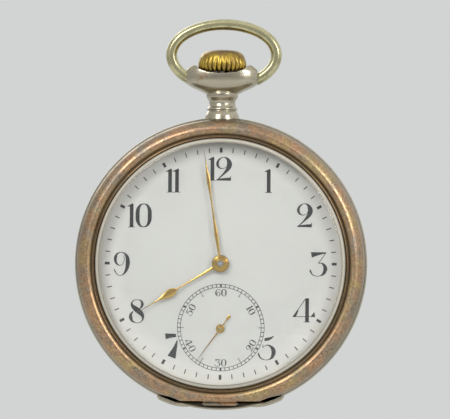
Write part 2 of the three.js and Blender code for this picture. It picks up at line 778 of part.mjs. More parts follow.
const hourWheel = () =>
  cut(
    join(
      wheel(HOUR_WHEEL, HOUR_BORE_R),
      bar(CENTRE, HOUR_PIPE_R, -3.5, HOUR_WHEEL.front + HOUR_WHEEL.thick),
    ),
    bar(CENTRE, holeR(CANNON_PIPE_R, RUN), -5, 0),
  );

// ---- plates and bridges -------------------------------------------------------------------
const pivotHole = (at, front, back) => bar(at, holeR(PIVOT_R, RUN, 8), front, back, 8);

function mainPlate() {
  const disc = turned([
    [0, PLATE_FRONT],
    [MOVEMENT_R + 0.45, PLATE_FRONT],
    [MOVEMENT_R + 0.45, -1 - CLEAR],
    [MOVEMENT_R, -1 - CLEAR],
    [MOVEMENT_R, PLATE_BACK],
    [0, PLATE_BACK],
  ]);
  const floor = PLATE_FRONT + PLATE_RECESS;
  const recess = join(
    bar(CENTRE, HOUR_WHEEL.r + 0.3, PLATE_FRONT - 1, floor, 32),
    bar(MINUTE_WHEEL_AT, MINUTE_WHEEL.r + 0.3, PLATE_FRONT - 1, floor, 32),
  );
  const stemRoom = join(
    box(
      [-WINDING_PINION.r - 0.2, WINDING_PINION.r + 0.2],
      [PLATE_FRONT - 1, PLATE_BACK + 1],
      [CLUTCH.low - CLUTCH_TRAVEL - 0.1, WINDING_PINION.high + 0.4],
    ),
    uprightBar(ARBOR_SOCKET_R + 0.1, 15.8, MOVEMENT_R + 1),
    box([-1.2, 1.2], [STEM_Y, PLATE_BACK + 1], [15.8, MOVEMENT_R + 1]),
    uprightBar(holeR(0.4, RUN), 10.6, 12.1),
  );
  const keyRoom = box([2, 6.6], [PLATE_FRONT - 1, floor], [9.2, 17.9]);
  const caseScrewHoles = Object.values(caseScrewPlaces).map((at) =>
    bar(at, CASE_SCREW_R + CLEAR, PLATE_FRONT + 0.6, PLATE_BACK + 1),
  );
  const holes = [THIRD_AT, ESCAPE_AT, PALLET_AT, BALANCE].map((at) =>
    pivotHole(at, PLATE_BACK - JEWEL_SEAT - 0.1, PLATE_BACK + 1),
  );
  const footHoles = [25, 205].map((degrees) => bar(polar(18.6, degrees), 0.47, -3, -0.8, 12));
  return cut(
    disc,
    recess,
    stemRoom,
    keyRoom,
    bar(CENTRE, holeR(ARBOR_R, RUN), -5, 5),
    bar(FOURTH_AT, holeR(PIVOT_R, RUN), -5, 5),
    bar(MINUTE_WHEEL_AT, 0.35, -1.5, -0.3),
    bar(BARREL_AT, holeR(0.8, RUN), -0.4, 1),
    ...holes,
    ...footHoles,
    ...caseScrewHoles,
    ...Object.values(screwPlaces).map((at) => screwHole(at, BRIDGE_BACK)),
  );
}

// The two bridges start as one disc with a wall round it that stands on the main plate.
function bridgeBlank() {
  const blank = turned([
    [0, BRIDGE_FRONT],
    [19.1, BRIDGE_FRONT],
    [19.1, PLATE_BACK + CLEAR],
    [BRIDGE_R, PLATE_BACK + CLEAR],
    [BRIDGE_R, BRIDGE_BACK],
    [0, BRIDGE_BACK],
  ]);
  const notches = Object.values(caseScrewPlaces).map((at) =>
    bar(at, SCREW_HEAD_R + 0.15, PLATE_BACK, BRIDGE_BACK + 1),
  );
  return cut(blank, ...notches);
}

const centreLobe = (r) => bar(CENTRE, r, PLATE_BACK, 5, 28);

function barrelBridge() {
  const pinionRoom = WINDING_PINION.r + 0.2;
  const upper = bridgeBlank().intersect(box([-30, 30], [-1, 5], [BRIDGE_LINE, 30]));
  const lobe = bar(CENTRE, 2.4, BRIDGE_FRONT, BRIDGE_BACK, 28);
  const screws = Object.keys(screwPlaces)
    .filter((name) => name.startsWith("barrel"))
    .map((name) => screwHole(screwPlaces[name], BRIDGE_BACK));
  return cut(
    join(upper, lobe),
    uprightBar(ARBOR_SOCKET_R + 0.1, 11, 30),
    box([-pinionRoom, pinionRoom], [-1, BRIDGE_FRONT - 0.3], [10, 30]),
    box(
      [-pinionRoom, pinionRoom],
      [BRIDGE_FRONT - 0.5, SKIRT_FRONT],
      [WINDING_PINION.low - 0.15, WINDING_PINION.high + 0.15],
    ),
    bar(BARREL_AT, holeR(0.8, RUN), 2, 5),
    cut(
      bar([0, CROWN_WHEEL_UP], holeR(SKIRT_OUTER_R, 0.1, 28), SKIRT_FRONT - CLEAR, 5, 28),
      bar([0, CROWN_WHEEL_UP], SKIRT_INNER_R - 0.15, 1, 6, 28),
    ),
    bar([0, CROWN_WHEEL_UP], 0.52, 2.9, 5),
    pivotHole(CENTRE, BRIDGE_FRONT - 1, BRIDGE_FRONT + JEWEL_SEAT + 0.1),
    ...screws,
  );
}

function trainBridge() {
  const lower = bridgeBlank().intersect(box([-9, 30], [-1, 5], [-30, BRIDGE_LINE - 0.15]));
  const holes = [THIRD_AT, FOURTH_AT, ESCAPE_AT].map((at) =>
    pivotHole(at, BRIDGE_FRONT - 1, BRIDGE_FRONT + JEWEL_SEAT + 0.1),
  );
  return cut(
    lower,
    bar(BALANCE, BALANCE_R + 0.5, -1, 5, 40),
    box([-10, -3.4], [-1, 5], [-9, 2]),
    centreLobe(2.55),
    screwHole(screwPlaces.train_bridge_screw, BRIDGE_BACK),
    ...holes,
  );
}

const screwHole = (at, top) =>
  join(
    bar(at, SCREW_HEAD_R + CLEAR, top - SCREW_HEAD, top + 1),
    bar(at, CASE_SCREW_R + CLEAR, PLATE_BACK - 1, top),
  );

function screw(at, top, length) {
  const slot = box([-SCREW_HEAD_R - 1, SCREW_HEAD_R + 1], [top - 0.2, top + 1], [-0.12, 0.12]);
  const head = bar(CENTRE, SCREW_HEAD_R, top - SCREW_HEAD + CLEAR, top);
  const shank = bar(CENTRE, CASE_SCREW_R, top - length, top - SCREW_HEAD + 0.1, 8);
  return placed(cut(join(head, shank), slot), at);
}

function palletCock() {
  const across = leverAngle + 90;
  const foot = polar(2.7, across, PALLET_AT);
  const tongue = slab(PALLET_AT, 0.7, foot, 0.8, 1.62, 1.95);
  const leg = bar(foot, 0.8, PLATE_BACK + CLEAR, 1.8, 20);
  return cut(join(tongue, leg), pivotHole(PALLET_AT, 1.5, 1.85));
}

// A flat arm with round ends, from one centre and radius to another.
function slab([x0, z0], r0, [x1, z1], r1, front, back) {
  const along = Math.atan2(z1 - z0, x1 - x0);
  const shape = new THREE.Shape();
  shape.absarc(x1, z1, r1, along - Math.PI / 2, along + Math.PI / 2);
  shape.absarc(x0, z0, r0, along + Math.PI / 2, along + 1.5 * Math.PI);
  shape.closePath();
  return plate(shape, front, back, 4);
}

function balanceCock() {
  const arm = slab(BALANCE, 1.9, COCK_FOOT, 2.1, COCK_FRONT, COCK_BACK);
  const leg = bar(COCK_FOOT, 2.1, PLATE_BACK + CLEAR, COCK_FRONT + 0.2, 28);
  return cut(
    join(arm, leg),
    pivotHole(BALANCE, COCK_FRONT - 1, COCK_FRONT + JEWEL_SEAT + 0.05),
    screwHole(COCK_FOOT, COCK_BACK),
  );
}

function regulator() {
  const ring = bar(CENTRE, 1.1, COCK_BACK + CLEAR, COCK_BACK + 0.25, 24);
  const tail = slab(CENTRE, 0.3, polar(4.6, 60), 0.12, COCK_BACK + CLEAR, COCK_BACK + 0.25);
  const hole = bar(CENTRE, 0.6, 3, 5, 18);
  return placed(cut(join(ring, tail), hole), BALANCE);
}

// ---- mainspring barrel and winding --------------------------------------------------------
function barrelDrum() {
  const teeth = wheel(BARREL, 6);
  const drum = turned(
    [
      [0.95, BARREL.front],
      [BARREL_DRUM_R, BARREL.front],
      [BARREL_DRUM_R, BARREL_BACK],
      [BARREL_DRUM_R - 0.4, BARREL_BACK],
      [BARREL_DRUM_R - 0.4, BARREL.front + BARREL.thick],
      [0.95, BARREL.front + BARREL.thick],
    ],
    32,
  );
  return placed(join(drum, teeth), BARREL_AT);
}

function barrelCover() {
  const shape = new THREE.Shape();
  shape.absarc(0, 0, BARREL_DRUM_R - 0.4 - CLEAR, 0, 2 * Math.PI);
  roundHole(shape, 0.95);
  return placed(plate(shape, BARREL_BACK - 0.25, BARREL_BACK, 14), BARREL_AT);
}

// A flat spiral strip: turns from r0 to r1, standing from one depth to another.
function spiral(r0, r1, turns, thick, front, back, steps) {
  const count = Math.round(turns * steps);
  const side = (offset) =>
    Array.from({ length: count + 1 }, (_, i) => {
      const angle = (i / steps) * 2 * Math.PI;
      const r = THREE.MathUtils.lerp(r0, r1, i / count) + offset;
      return new THREE.Vector2(r * Math.cos(angle), r * Math.sin(angle));
    });
  const shape = new THREE.Shape([...side(thick / 2), ...side(-thick / 2).reverse()]);
  return plate(shape, front, back);
}

const mainspring = () =>
  placed(
    spiral(1.75, BARREL_DRUM_R - 0.65, 6, 0.18, SPRING_FRONT, SPRING_BACK, 12),
    BARREL_AT,
  );

function barrelArbor() {
  const half = 0.55;
  const square = box([-half, half], [3, RATCHET.front + RATCHET.thick - CLEAR], [-half, half]);
  return placed(
    join(
      bar(CENTRE, 0.8, -0.3, BRIDGE_BACK, 20),
      bar(CENTRE, 1.5, SPRING_FRONT, SPRING_BACK),
      square,
    ),
    BARREL_AT,
  );
}

function ratchetWheel() {
  const half = 0.55 + CLEAR;
  const square = box([-half, half], [3, 5], [-half, half]);
  const disc = plate(
    toothed(RATCHET.teeth, RATCHET.r, 0.4),
    RATCHET.front,
    RATCHET.front + RATCHET.thick,
  );
  return placed(cut(disc, square), RATCHET_AT);
}

const ratchetScrew = () => {
  const front = RATCHET.front + RATCHET.thick + 0.02;
  const head = bar(CENTRE, 1.3, front, front + 0.25, 20);
  const slot = box([-2, 2], [front + 0.12, 5], [-0.13, 0.13]);
  return placed(cut(head, slot), RATCHET_AT);
};

function crownWheel() {
  const teeth = wheel(CROWN_WHEEL, 0.9);
  const skirt = turned(
    [
      [SKIRT_INNER_R, SKIRT_FRONT],
      [SKIRT_OUTER_R, SKIRT_FRONT],
      [SKIRT_OUTER_R, CROWN_WHEEL.front + 0.1],
      [SKIRT_INNER_R, CROWN_WHEEL.front + 0.1],
    ],
    28,
  );
  return placed(join(teeth, skirt), [0, CROWN_WHEEL_UP]);
}

function crownWheelScrew() {
  const front = CROWN_WHEEL.front + CROWN_WHEEL.thick + 0.02;
  const head = bar(CENTRE, 1.6, front, front + 0.25, 20);
  const shank = bar(CENTRE, 0.46, 3, front + 0.1, 12);
  const slot = box([-2, 2], [front + 0.12, 5], [-0.13, 0.13]);
  return placed(cut(join(head, shank), slot), [0, CROWN_WHEEL_UP]);
}

function click() {
  const pivot = polar(RATCHET.r + 1.7, 112, RATCHET_AT);
  const nose = polar(RATCHET.r + 0.16, 100, RATCHET_AT);
  const top = RATCHET.front + RATCHET.thick;
  return slab(pivot, 0.75, nose, 0.12, BRIDGE_BACK + CLEAR, top);
}

function clickSpring() {
  const end = polar(RATCHET.r + 2.6, 99, RATCHET_AT);
  const foot = polar(RATCHET.r + 3.4, 78, RATCHET_AT);
  return slab(foot, 0.55, end, 0.12, BRIDGE_BACK + CLEAR, RATCHET.front + RATCHET.thick);
}

// ---- going train --------------------------------------------------------------------------
const throughPlate = PLATE_BACK - JEWEL_SEAT;
const throughBridge = BRIDGE_FRONT + JEWEL_SEAT;

const centreArbor = () =>
  join(
    arbor(CENTRE_PINION, throughPlate, throughBridge, ARBOR_R),
    bar(CENTRE, ARBOR_R, -1.4, PLATE_BACK + 0.2),
    bar(CENTRE, 0.3, -3.7, -1.3),
  );

function trainWheel(size, at) {
  return placed(wheel(size, holeR(ARBOR_R, CLEAR)), at);
}

const fourthArbor = () =>
  placed(
    join(
      arbor(FOURTH_PINION, throughPlate, throughBridge, ARBOR_R),
      bar(CENTRE, PIVOT_R, -3.2, throughPlate + 0.1, 8),
    ),
    FOURTH_AT,
  );

function escapeWheel() {
  const shape = new THREE.Shape();
  const step = (2 * Math.PI) / ESCAPE_WHEEL.teeth;
  const root = ESCAPE_WHEEL.r - 0.65;
  for (let i = 0; i < ESCAPE_WHEEL.teeth; i++) {
    for (const [r, share] of [
      [root, 0],
      [ESCAPE_WHEEL.r, 0.42],
      [ESCAPE_WHEEL.r - 0.08, 0.56],
      [root, 0.3],
    ].sort((a, b) => a[1] - b[1])) {
      const angle = (i + share) * step;
      const at = [r * Math.cos(angle), r * Math.sin(angle)];
      if (i === 0 && share === 0) shape.moveTo(...at);
      else shape.lineTo(...at);
    }
  }
  shape.closePath();
  openings(shape, ESCAPE_WHEEL.arms, 0.8, root - 0.3, 0.3);
  roundHole(shape, holeR(ARBOR_R, CLEAR));
  const back = ESCAPE_WHEEL.front + ESCAPE_WHEEL.thick;
  return placed(plate(shape, ESCAPE_WHEEL.front, back), ESCAPE_AT);
}

// The pallet fork points along +X here, its pivot at the origin.
function palletFork() {
  const front = ESCAPE_WHEEL.front;
  const back = front + ESCAPE_WHEEL.thick;
  const clearOfTeeth = ESCAPE_WHEEL.r + 0.12;
  const pallet = (side) => {
    const reach = Math.sqrt(clearOfTeeth ** 2 - 1.9 ** 2);
    return slab([0, 0], 0.4, [-PALLET_REACH + reach + 0.3, side * 1.9], 0.22, front, back);
  };
  const horn = (side) =>
    slab([LEVER_LENGTH - 0.5, side * 0.15], 0.15, [LEVER_LENGTH, side * 0.5], 0.13, front, back);
  const whole = join(
    slab([0, 0], 0.45, [LEVER_LENGTH - 0.5, 0], 0.22, front, back),
    pallet(-1),
    pallet(1),
    horn(-1),
    horn(1),
  );
  const arborOf = join(
    bar(CENTRE, PIVOT_R, throughPlate, 1.8, 8),
    bar(CENTRE, 0.25, PLATE_BACK + CLEAR, 1.56),
  );
  return placed(join(whole, arborOf).rotate([0, -leverAngle, 0]), PALLET_AT);
}

function balanceWheel() {
  const shape = new THREE.Shape();
  shape.absarc(0, 0, BALANCE_R - 0.25, 0, 2 * Math.PI);
  openings(shape, 2, 1.1, BALANCE_R - 0.95, 0.9);
  roundHole(shape, holeR(0.5, CLEAR));
  const rim = plate(shape, BALANCE_FRONT, BALANCE_FRONT + BALANCE_THICK, 16);
  const middle = BALANCE_FRONT + BALANCE_THICK / 2;
  const screws = Array.from({ length: 10 }, (_, i) => {
    const geometry = new THREE.CylinderGeometry(0.22, 0.22, 0.7, 6);
    geometry.rotateZ(Math.PI / 2).translate(BALANCE_R - 0.35, middle, 0);
    return solid(geometry.rotateY((i + 0.5) * (Math.PI / 5)));
  });
  return placed(join(rim, ...screws), BALANCE);
}

const balanceStaff = () =>
  placed(
    join(
      bar(CENTRE, PIVOT_R, throughPlate, COCK_FRONT + JEWEL_SEAT, 8),
      bar(CENTRE, 0.3, PLATE_BACK + CLEAR, COCK_FRONT - CLEAR),
      bar(CENTRE, 0.5, 1.98, BALANCE_FRONT + BALANCE_THICK + 0.05),
    ),
    BALANCE,
  );

const roller = () =>
  placed(
    cut(
      join(bar(CENTRE, 0.95, 1.75, 1.92, 20), bar([0, 0.62], 0.12, 1.58, 1.8, 8)),
      bar(CENTRE, holeR(0.3, CLEAR), 1, 3),
    ).rotate([0, 90 - leverAngle + 180, 0]),
    BALANCE,
  );

const hairspring = () =>
  placed(
    spiral(0.5, HAIRSPRING_R, 5, 0.1, BALANCE_FRONT + BALANCE_THICK + 0.1, COCK_FRONT - 0.1, 12),
    BALANCE,
  );

// ---- keyless work and motion work ---------------------------------------------------------
function windingArbor() {
  const socket = uprightBar(ARBOR_SOCKET_R, 18.4, MOVEMENT_R - 0.1);
  const half = SQUARE / 2 + CLEAR;
  const hole = box([-half, half], [STEM_Y - half, STEM_Y + half], [18.9, 30]);
  return join(
    cut(socket, hole),
    uprightBar(WINDING_ARBOR_R, 12.05, 18.6),
    uprightBar(0.4, 10.8, 12.1),
  );
}

function stemGear(size, depth) {
  const shape = toothed(size.teeth, size.r, depth);
  roundHole(shape, holeR(WINDING_ARBOR_R, CLEAR));
  const options = { depth: size.high - size.low, bevelEnabled: false };
  return solid(new THREE.ExtrudeGeometry(shape, options).translate(0, STEM_Y, size.low));
}

const windingPinion = () => stemGear(WINDING_PINION, 0.3);

function clutchWheel() {
  const middle = (CLUTCH.low + CLUTCH.high) / 2;
  const groove = cut(uprightBar(2, middle - 0.25, middle + 0.25), uprightBar(0.95, 0, 30));
  return cut(stemGear(CLUTCH, 0.25), groove);
}

// Lever that follows the stem: it lies in the plate's pocket beside the clutch.
const SETTING_PIVOT = [4.6, 15.6];
const YOKE_PIVOT = [5.2, 11.0];
const keyFront = PLATE_FRONT + 0.35;
const keyBack = PLATE_FRONT + PLATE_RECESS - CLEAR;

const settingLever = () => slab(SETTING_PIVOT, 0.9, [2.5, 16.6], 0.35, keyFront, keyBack);

const yoke = () => slab(YOKE_PIVOT, 0.8, [2.4, 13.3], 0.3, keyFront, keyBack);

const minuteWheel = () =>
  placed(
    cut(
      join(
        wheel(MINUTE_WHEEL, 0.5, 0.3),
        plate(
          toothed(MINUTE_PINION.teeth, MINUTE_PINION.r, 0.2),
          HOUR_WHEEL.front,
          MINUTE_WHEEL.front + 0.1,
        ),
        bar(CENTRE, 0.55, MINUTE_WHEEL.front, MINUTE_WHEEL.front + MINUTE_WHEEL.thick),
      ),
      bar(CENTRE, 0.3, -3, 1),
    ),
    MINUTE_WHEEL_AT,
  );

const caseScrew = (at) => screw(at, LEDGE_BACK + SCREW_HEAD, 1.8);

// ---- the watch ----------------------------------------------------------------------------
const parts = {
  case_middle: [caseMiddle, SILVER],
  pendant: [pendant, SILVER],
  pendant_sleeve: [pendantSleeve, STEEL],
  bow: [bow, NICKEL_SILVER],
  crown: [crown, GOLD],
  crown_stem: [crownStem, STEEL],
  bezel: [bezel, ROSE_GOLD],
  crystal: [crystal, GLASS],
  back_cover: [backCover, ROSE_GOLD],
  inner_cover: [innerCover, ROSE_GOLD],
  bezel_hinge_pin: [() => hingePin(BAND_FRONT, HINGE_DOWN, HINGE_HALF), STEEL],
  back_hinge_pin: [() => hingePin(BAND_BACK, HINGE_DOWN, HINGE_HALF), STEEL],
  inner_hinge_pin: [() => hingePin(BAND_BACK, INNER_HINGE_DOWN, INNER_HINGE_HALF), STEEL],
  dial: [dial, ENAMEL],
  hour_hand: [hourHand, GOLD],
  minute_hand: [minuteHand, GOLD],
  seconds_hand: [secondsHand, GOLD],
  cannon_pinion: [cannonPinion, STEEL],
  hour_wheel: [hourWheel, BRASS],
  minute_wheel: [minuteWheel, BRASS],
  main_plate: [mainPlate, GILT],
  barrel_bridge: [barrelBridge, GILT],
  train_bridge: [trainBridge, GILT],
  pallet_cock: [palletCock, GILT],
  balance_cock: [balanceCock, GILT],
  regulator: [regulator, STEEL],
  barrel: [barrelDrum, BRASS],
  barrel_cover: [barrelCover, BRASS],
  barrel_arbor: [barrelArbor, STEEL],
  mainspring: [mainspring, STEEL],
  ratchet_wheel: [ratchetWheel, STEEL],
  ratchet_screw: [ratchetScrew, BLUED],
  crown_wheel: [crownWheel, STEEL],
  crown_wheel_screw: [crownWheelScrew, BLUED],
  click: [click, STEEL],
  click_spring: [clickSpring, STEEL],
  centre_wheel: [() => trainWheel(CENTRE_WHEEL, CENTRE), BRASS],
  centre_arbor: [centreArbor, STEEL],
  third_wheel: [() => trainWheel(THIRD_WHEEL, THIRD_AT), BRASS],
  third_arbor: [
    () => placed(arbor(THIRD_PINION, throughPlate, throughBridge, ARBOR_R), THIRD_AT),
    STEEL,
  ],
  fourth_wheel: [() => trainWheel(FOURTH_WHEEL, FOURTH_AT), BRASS],
  fourth_arbor: [fourthArbor, STEEL],
  escape_wheel: [escapeWheel, STEEL],
  escape_arbor: [
    () => placed(arbor(ESCAPE_PINION, throughPlate, throughBridge, ARBOR_R), ESCAPE_AT),
    STEEL,
  ],
  pallet_fork: [palletFork, STEEL],
  balance_wheel: [balanceWheel, BRASS],
  balance_staff: [balanceStaff, STEEL],
  roller: [roller, STEEL],
  hairspring: [hairspring, BLUED],
  winding_arbor: [windingArbor, STEEL],
  winding_pinion: [windingPinion, STEEL],
  clutch_wheel: [clutchWheel, STEEL],
  setting_lever: [settingLever, STEEL],
  yoke: [yoke, STEEL],
  case_screw_left: [() => caseScrew(caseScrewPlaces.case_screw_left), BLUED],
  case_screw_right: [() => caseScrew(caseScrewPlaces.case_screw_right), BLUED],
};
for (const [name, at] of Object.entries(screwPlaces)) {
  const top = name === "balance_cock_screw" ? COCK_BACK : BRIDGE_BACK;
  parts[name] = [() => screw(at, top, top - PLATE_BACK), BLUED];
}

function hingePin(y, down, half) {
  return crossBar(y, -down, HINGE_PIN_R, -half + 0.1, half - 0.1, 12);
}

const watch = new THREE.Group();
watch.position.set(0, -STEM_Y, -(BOW_TOP - BOW_WIRE_R));
for (const [name, [make, material]] of Object.entries(parts)) {
  const mesh = new THREE.Mesh(geometryOf(make()), material);
  mesh.name = name;
  watch.add(mesh);
}

const group = new THREE.Group();
group.add(watch);
export default group;
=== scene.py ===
"""The looks of a worn open-face fob watch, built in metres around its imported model."""
import json
import math

import bmesh
import bpy
from mathutils import Matrix, Vector

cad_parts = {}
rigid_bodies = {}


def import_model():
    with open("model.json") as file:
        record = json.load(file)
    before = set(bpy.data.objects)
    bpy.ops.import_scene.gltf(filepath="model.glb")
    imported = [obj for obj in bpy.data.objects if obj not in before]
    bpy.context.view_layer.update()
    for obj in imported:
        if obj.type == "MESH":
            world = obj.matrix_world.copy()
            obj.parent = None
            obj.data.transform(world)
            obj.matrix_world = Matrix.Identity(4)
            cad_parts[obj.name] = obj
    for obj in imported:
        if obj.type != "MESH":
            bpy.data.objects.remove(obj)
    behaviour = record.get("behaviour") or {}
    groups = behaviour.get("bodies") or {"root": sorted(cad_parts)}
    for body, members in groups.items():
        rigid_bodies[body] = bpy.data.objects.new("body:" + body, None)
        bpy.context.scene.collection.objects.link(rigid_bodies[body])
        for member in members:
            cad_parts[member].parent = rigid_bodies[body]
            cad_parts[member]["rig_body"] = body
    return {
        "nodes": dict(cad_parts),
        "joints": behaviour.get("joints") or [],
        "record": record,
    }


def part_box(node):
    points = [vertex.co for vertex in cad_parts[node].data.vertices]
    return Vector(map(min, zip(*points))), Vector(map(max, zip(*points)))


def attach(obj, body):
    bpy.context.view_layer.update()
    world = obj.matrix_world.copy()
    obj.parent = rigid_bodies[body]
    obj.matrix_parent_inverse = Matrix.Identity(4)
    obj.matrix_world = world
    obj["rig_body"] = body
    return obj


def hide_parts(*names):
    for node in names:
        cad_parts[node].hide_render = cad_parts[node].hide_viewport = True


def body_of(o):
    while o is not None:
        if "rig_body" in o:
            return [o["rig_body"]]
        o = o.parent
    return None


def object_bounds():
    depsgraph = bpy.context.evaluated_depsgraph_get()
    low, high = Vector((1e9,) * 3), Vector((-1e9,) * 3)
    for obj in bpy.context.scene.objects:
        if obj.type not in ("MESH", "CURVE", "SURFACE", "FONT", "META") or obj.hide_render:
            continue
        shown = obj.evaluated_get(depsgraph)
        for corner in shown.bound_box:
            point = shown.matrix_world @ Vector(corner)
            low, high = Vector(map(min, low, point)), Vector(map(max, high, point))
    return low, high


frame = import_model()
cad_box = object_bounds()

# ---- where the watch is ----------------------------------------------------------------------
# Shapes are written in millimetres about the dial's centre: +X right, +Z to twelve, -Y outwards.
MM = 0.001
DIAL_FRONT = -2.7
dial_low, dial_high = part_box("dial")
ORIGIN = Vector((
    (dial_low.x + dial_high.x) / 2,
    dial_low.y - DIAL_FRONT * MM,
    (dial_low.z + dial_high.z) / 2,
))
JOINTS = {joint["name"]: joint for joint in frame["joints"]}


def pivot(joint):
    """A joint's place, in millimetres from the dial's centre."""
    return (Vector(JOINTS[joint]["pos_m"]) - ORIGIN) / MM


def middle(node):
    """The middle of a node's box, in millimetres from the dial's centre."""
    low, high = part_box(node)
    return ((low + high) / 2 - ORIGIN) / MM


def span(node, axis):
    """How far a node reaches along one axis (0, 1 or 2), in millimetres."""
    low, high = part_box(node)
    return (low[axis] - ORIGIN[axis]) / MM, (high[axis] - ORIGIN[axis]) / MM


# ---- driving sizes, in millimetres -------------------------------------------------------------
CASE_R = 25.0  # outside of the band
LID_R = 24.65  # outside of the bezel and the back cover
MOVEMENT_R = 21.4
BAND_FRONT = -2.2
BAND_BACK = 2.6
BEZEL_TOP = -5.4
BACK_TOP = 6.1
STEM_Y = 0.5  # depth of the stem's and the bow's axes
CLEAR = 0.05  # running clearance between moving parts
FINE = 240  # facets round the large rings

HINGE_DOWN = -pivot("bezel_hinge").z
HINGE_R = 0.38  # of a knuckle
HINGE_HALF = 7.4  # half the hinge's width
KNUCKLE_HALF = 2.85
WELL_R = 24.62  # how far out the hinges' slots in the band reach
LID_CUT = HINGE_DOWN - HINGE_R - 0.1  # how far down the lids reach beside the hinge
LID_WIDE = HINGE_HALF + 0.1
INNER_HINGE_DOWN = 22.3  # the inner cover's hinge stands inside the others
INNER_ROLL_R = 0.28
EAR_END = 10.9  # how far across the lips beside the hinge reach, and where they die away
EAR_TAIL = 5.0
EAR_R = 25.55  # their greatest reach from the dial's axis

BOW_PIVOT = pivot("bow_swing").z
BOW_HALF = 9.0
BOW_SHOULDER = 35.9  # height of its widest place
BOW_TOP = 41.1
BOW_DROP = 5.5  # how far its lower half would fall if it closed
BOW_END = math.radians(54)  # how far it runs on below its widest place
BOW_LEAN = 0.25  # worn pivots let the bow sit a little to the right
BOSS_END = 6.6
WIRE_R = 0.95
HEAD_HALF = 6.04  # half the pendant head's width between its flat cheeks
CROWN_R = 4.05
CROWN_LOW, CROWN_TOP = span("crown", 2)
CROWN_FLUTES = 28

MINUTE_TRACK = (19.02, 19.86)  # inner and outer ends of the minute marks
NUMERAL_TALL = 4.1
SECONDS_RING = (6.9, 7.42)  # middles of the two lines round the small seconds
PRINT_RISE = 0.012  # how far fired print stands off the enamel
PRINT_SINK = 0.02
FULL_TURN = 2 * math.pi

# ---- small tools -------------------------------------------------------------------------------


def rgb(code):
    """An sRGB hex colour as the linear colour that a shader wants."""
    parts = [int(code[i:i + 2], 16) / 255 for i in (1, 3, 5)]
    return (*[c / 12.92 if c <= 0.04045 else ((c + 0.055) / 1.055) ** 2.4 for c in parts], 1.0)


def feed(node, inputs):
    """Gives each named input of a node its value or its link."""
    for key, value in inputs.items():
        if isinstance(value, bpy.types.NodeSocket):
            node.id_data.links.new(value, node.inputs[key])
        else:
            node.inputs[key].default_value = value
    return node


def add(tree, kind, inputs=None, **settings):
    """Adds one node with its settings, its values and its links."""
    node = tree.nodes.new(kind)
    for key, value in settings.items():
        setattr(node, key, value)
    return feed(node, inputs or {})


def mesh_from(bm, name="shape"):
    """A mesh of what bm holds; bm is then freed."""
    mesh = bpy.data.meshes.new(name)
    bm.to_mesh(mesh)
    bm.free()
    return mesh


def facing_out(bm):
    """The mesh with all of its faces turned outwards."""
    bmesh.ops.recalc_face_normals(bm, faces=bm.faces)
    return mesh_from(bm)


def gathered(meshes):
    """Several meshes taken up into one, with nothing cut."""
    bm = bmesh.new()
    for mesh in meshes:
        bm.from_mesh(mesh)
        bpy.data.meshes.remove(mesh)
    return bm


def rounded(points, radius, steps=3):
    """A closed outline with each of its corners rounded."""
    out = []
    for i, point in enumerate(points):
        corner = Vector(point)
        before, after = Vector(points[i - 1]), Vector(points[(i + 1) % len(points)])
        start = corner.lerp(before, min(0.45, radius / max((before - corner).length, 1e-9)))
        end = corner.lerp(after, min(0.45, radius / max((after - corner).length, 1e-9)))
        for k in range(steps + 1):
            t = k / steps
            out.append(tuple(start.lerp(corner, t).lerp(corner.lerp(end, t), t)))
    return out


def flowing(points, steps):
    """A smooth line through the points, whatever number of values each has."""
    padded = [points[0], *points, points[-1]]
    out = []
    for a, b, c, d in zip(padded, padded[1:], padded[2:], padded[3:]):
        for k in range(steps):
            t = k / steps
            out.append(tuple(
                0.5 * (2 * q + (r - p) * t + (2 * p - 5 * q + 4 * r - s) * t * t
                       + (3 * q - p - 3 * r + s) * t ** 3)
                for p, q, r, s in zip(a, b, c, d)
            ))
    return [*out, tuple(points[-1])]


def skin(rings, caps=False, loop=False):
    """Faces between rings of points; a ring of one point is a pole."""
    bm = bmesh.new()
    made = [[bm.verts.new(p) for p in ring] for ring in rings]
    most = max(len(ring) for ring in rings)
    pairs = list(zip(made, made[1:])) + ([(made[-1], made[0])] if loop else [])
    for low, high in pairs:
        for i in range(most):
            j = (i + 1) % most
            corners = [low[i % len(low)], low[j % len(low)], high[j % len(high)], high[i % len(high)]]
            corners = list(dict.fromkeys(corners))
            if len(corners) > 2:
                bm.faces.new(corners)
    if caps:
        bm.faces.new(made[0])
        bm.faces.new(list(reversed(made[-1])))
    return facing_out(bm)


def circle(r, count):
    """Points evenly round a circle of a radius."""
    turns = [FULL_TURN * i / count for i in range(count)]
    return [(r * math.cos(a), r * math.sin(a)) for a in turns]


def turned(outline, steps=FINE, upright=False):
    """A closed outline of (radius, height) turned about the dial's axis or the stem's."""
    rings = []
    for r, height in outline:
        count = 1 if r < 1e-6 else steps
        ring = []
        for i in range(count):
            a = FULL_TURN * i / steps
            if upright:
                ring.append((r * math.sin(a), STEM_Y - r * math.cos(a), height))
            else:
                ring.append((r * math.sin(a), height, r * math.cos(a)))
        rings.append(ring)
    closed = outline[0][0] > 1e-6 and outline[-1][0] > 1e-6
    return skin(rings, loop=closed)


def prism(outline, front, back):
    """An outline in the dial's plane with straight walls from front to back."""
    return skin([[(x, y, z) for x, z in outline] for y in (front, back)], caps=True)


def box(x, y, z):
    """A block between a pair of values on each axis."""
    return prism([(x[0], z[0]), (x[1], z[0]), (x[1], z[1]), (x[0], z[1])], y[0], y[1])


def cross_rod(y, z, r, ends, steps=24, soft=0.0):
    """A rod along X, its ends softened by a small radius."""
    low, high = ends
    stations = [(low, r)] if not soft else [(low, r - soft), (low + soft, r)]
    stations += [(high, r)] if not soft else [(high - soft, r), (high, r - soft)]
    return skin([
        [(x, y + u, z + v) for u, v in circle(radius, steps)] for x, radius in stations
    ], caps=True)


def put(mesh, at, y=0.0):
    """The mesh moved to a place on the dial's plane, and to a depth."""
    mesh.transform(Matrix.Translation((at.x, y, at.z)))
    return mesh


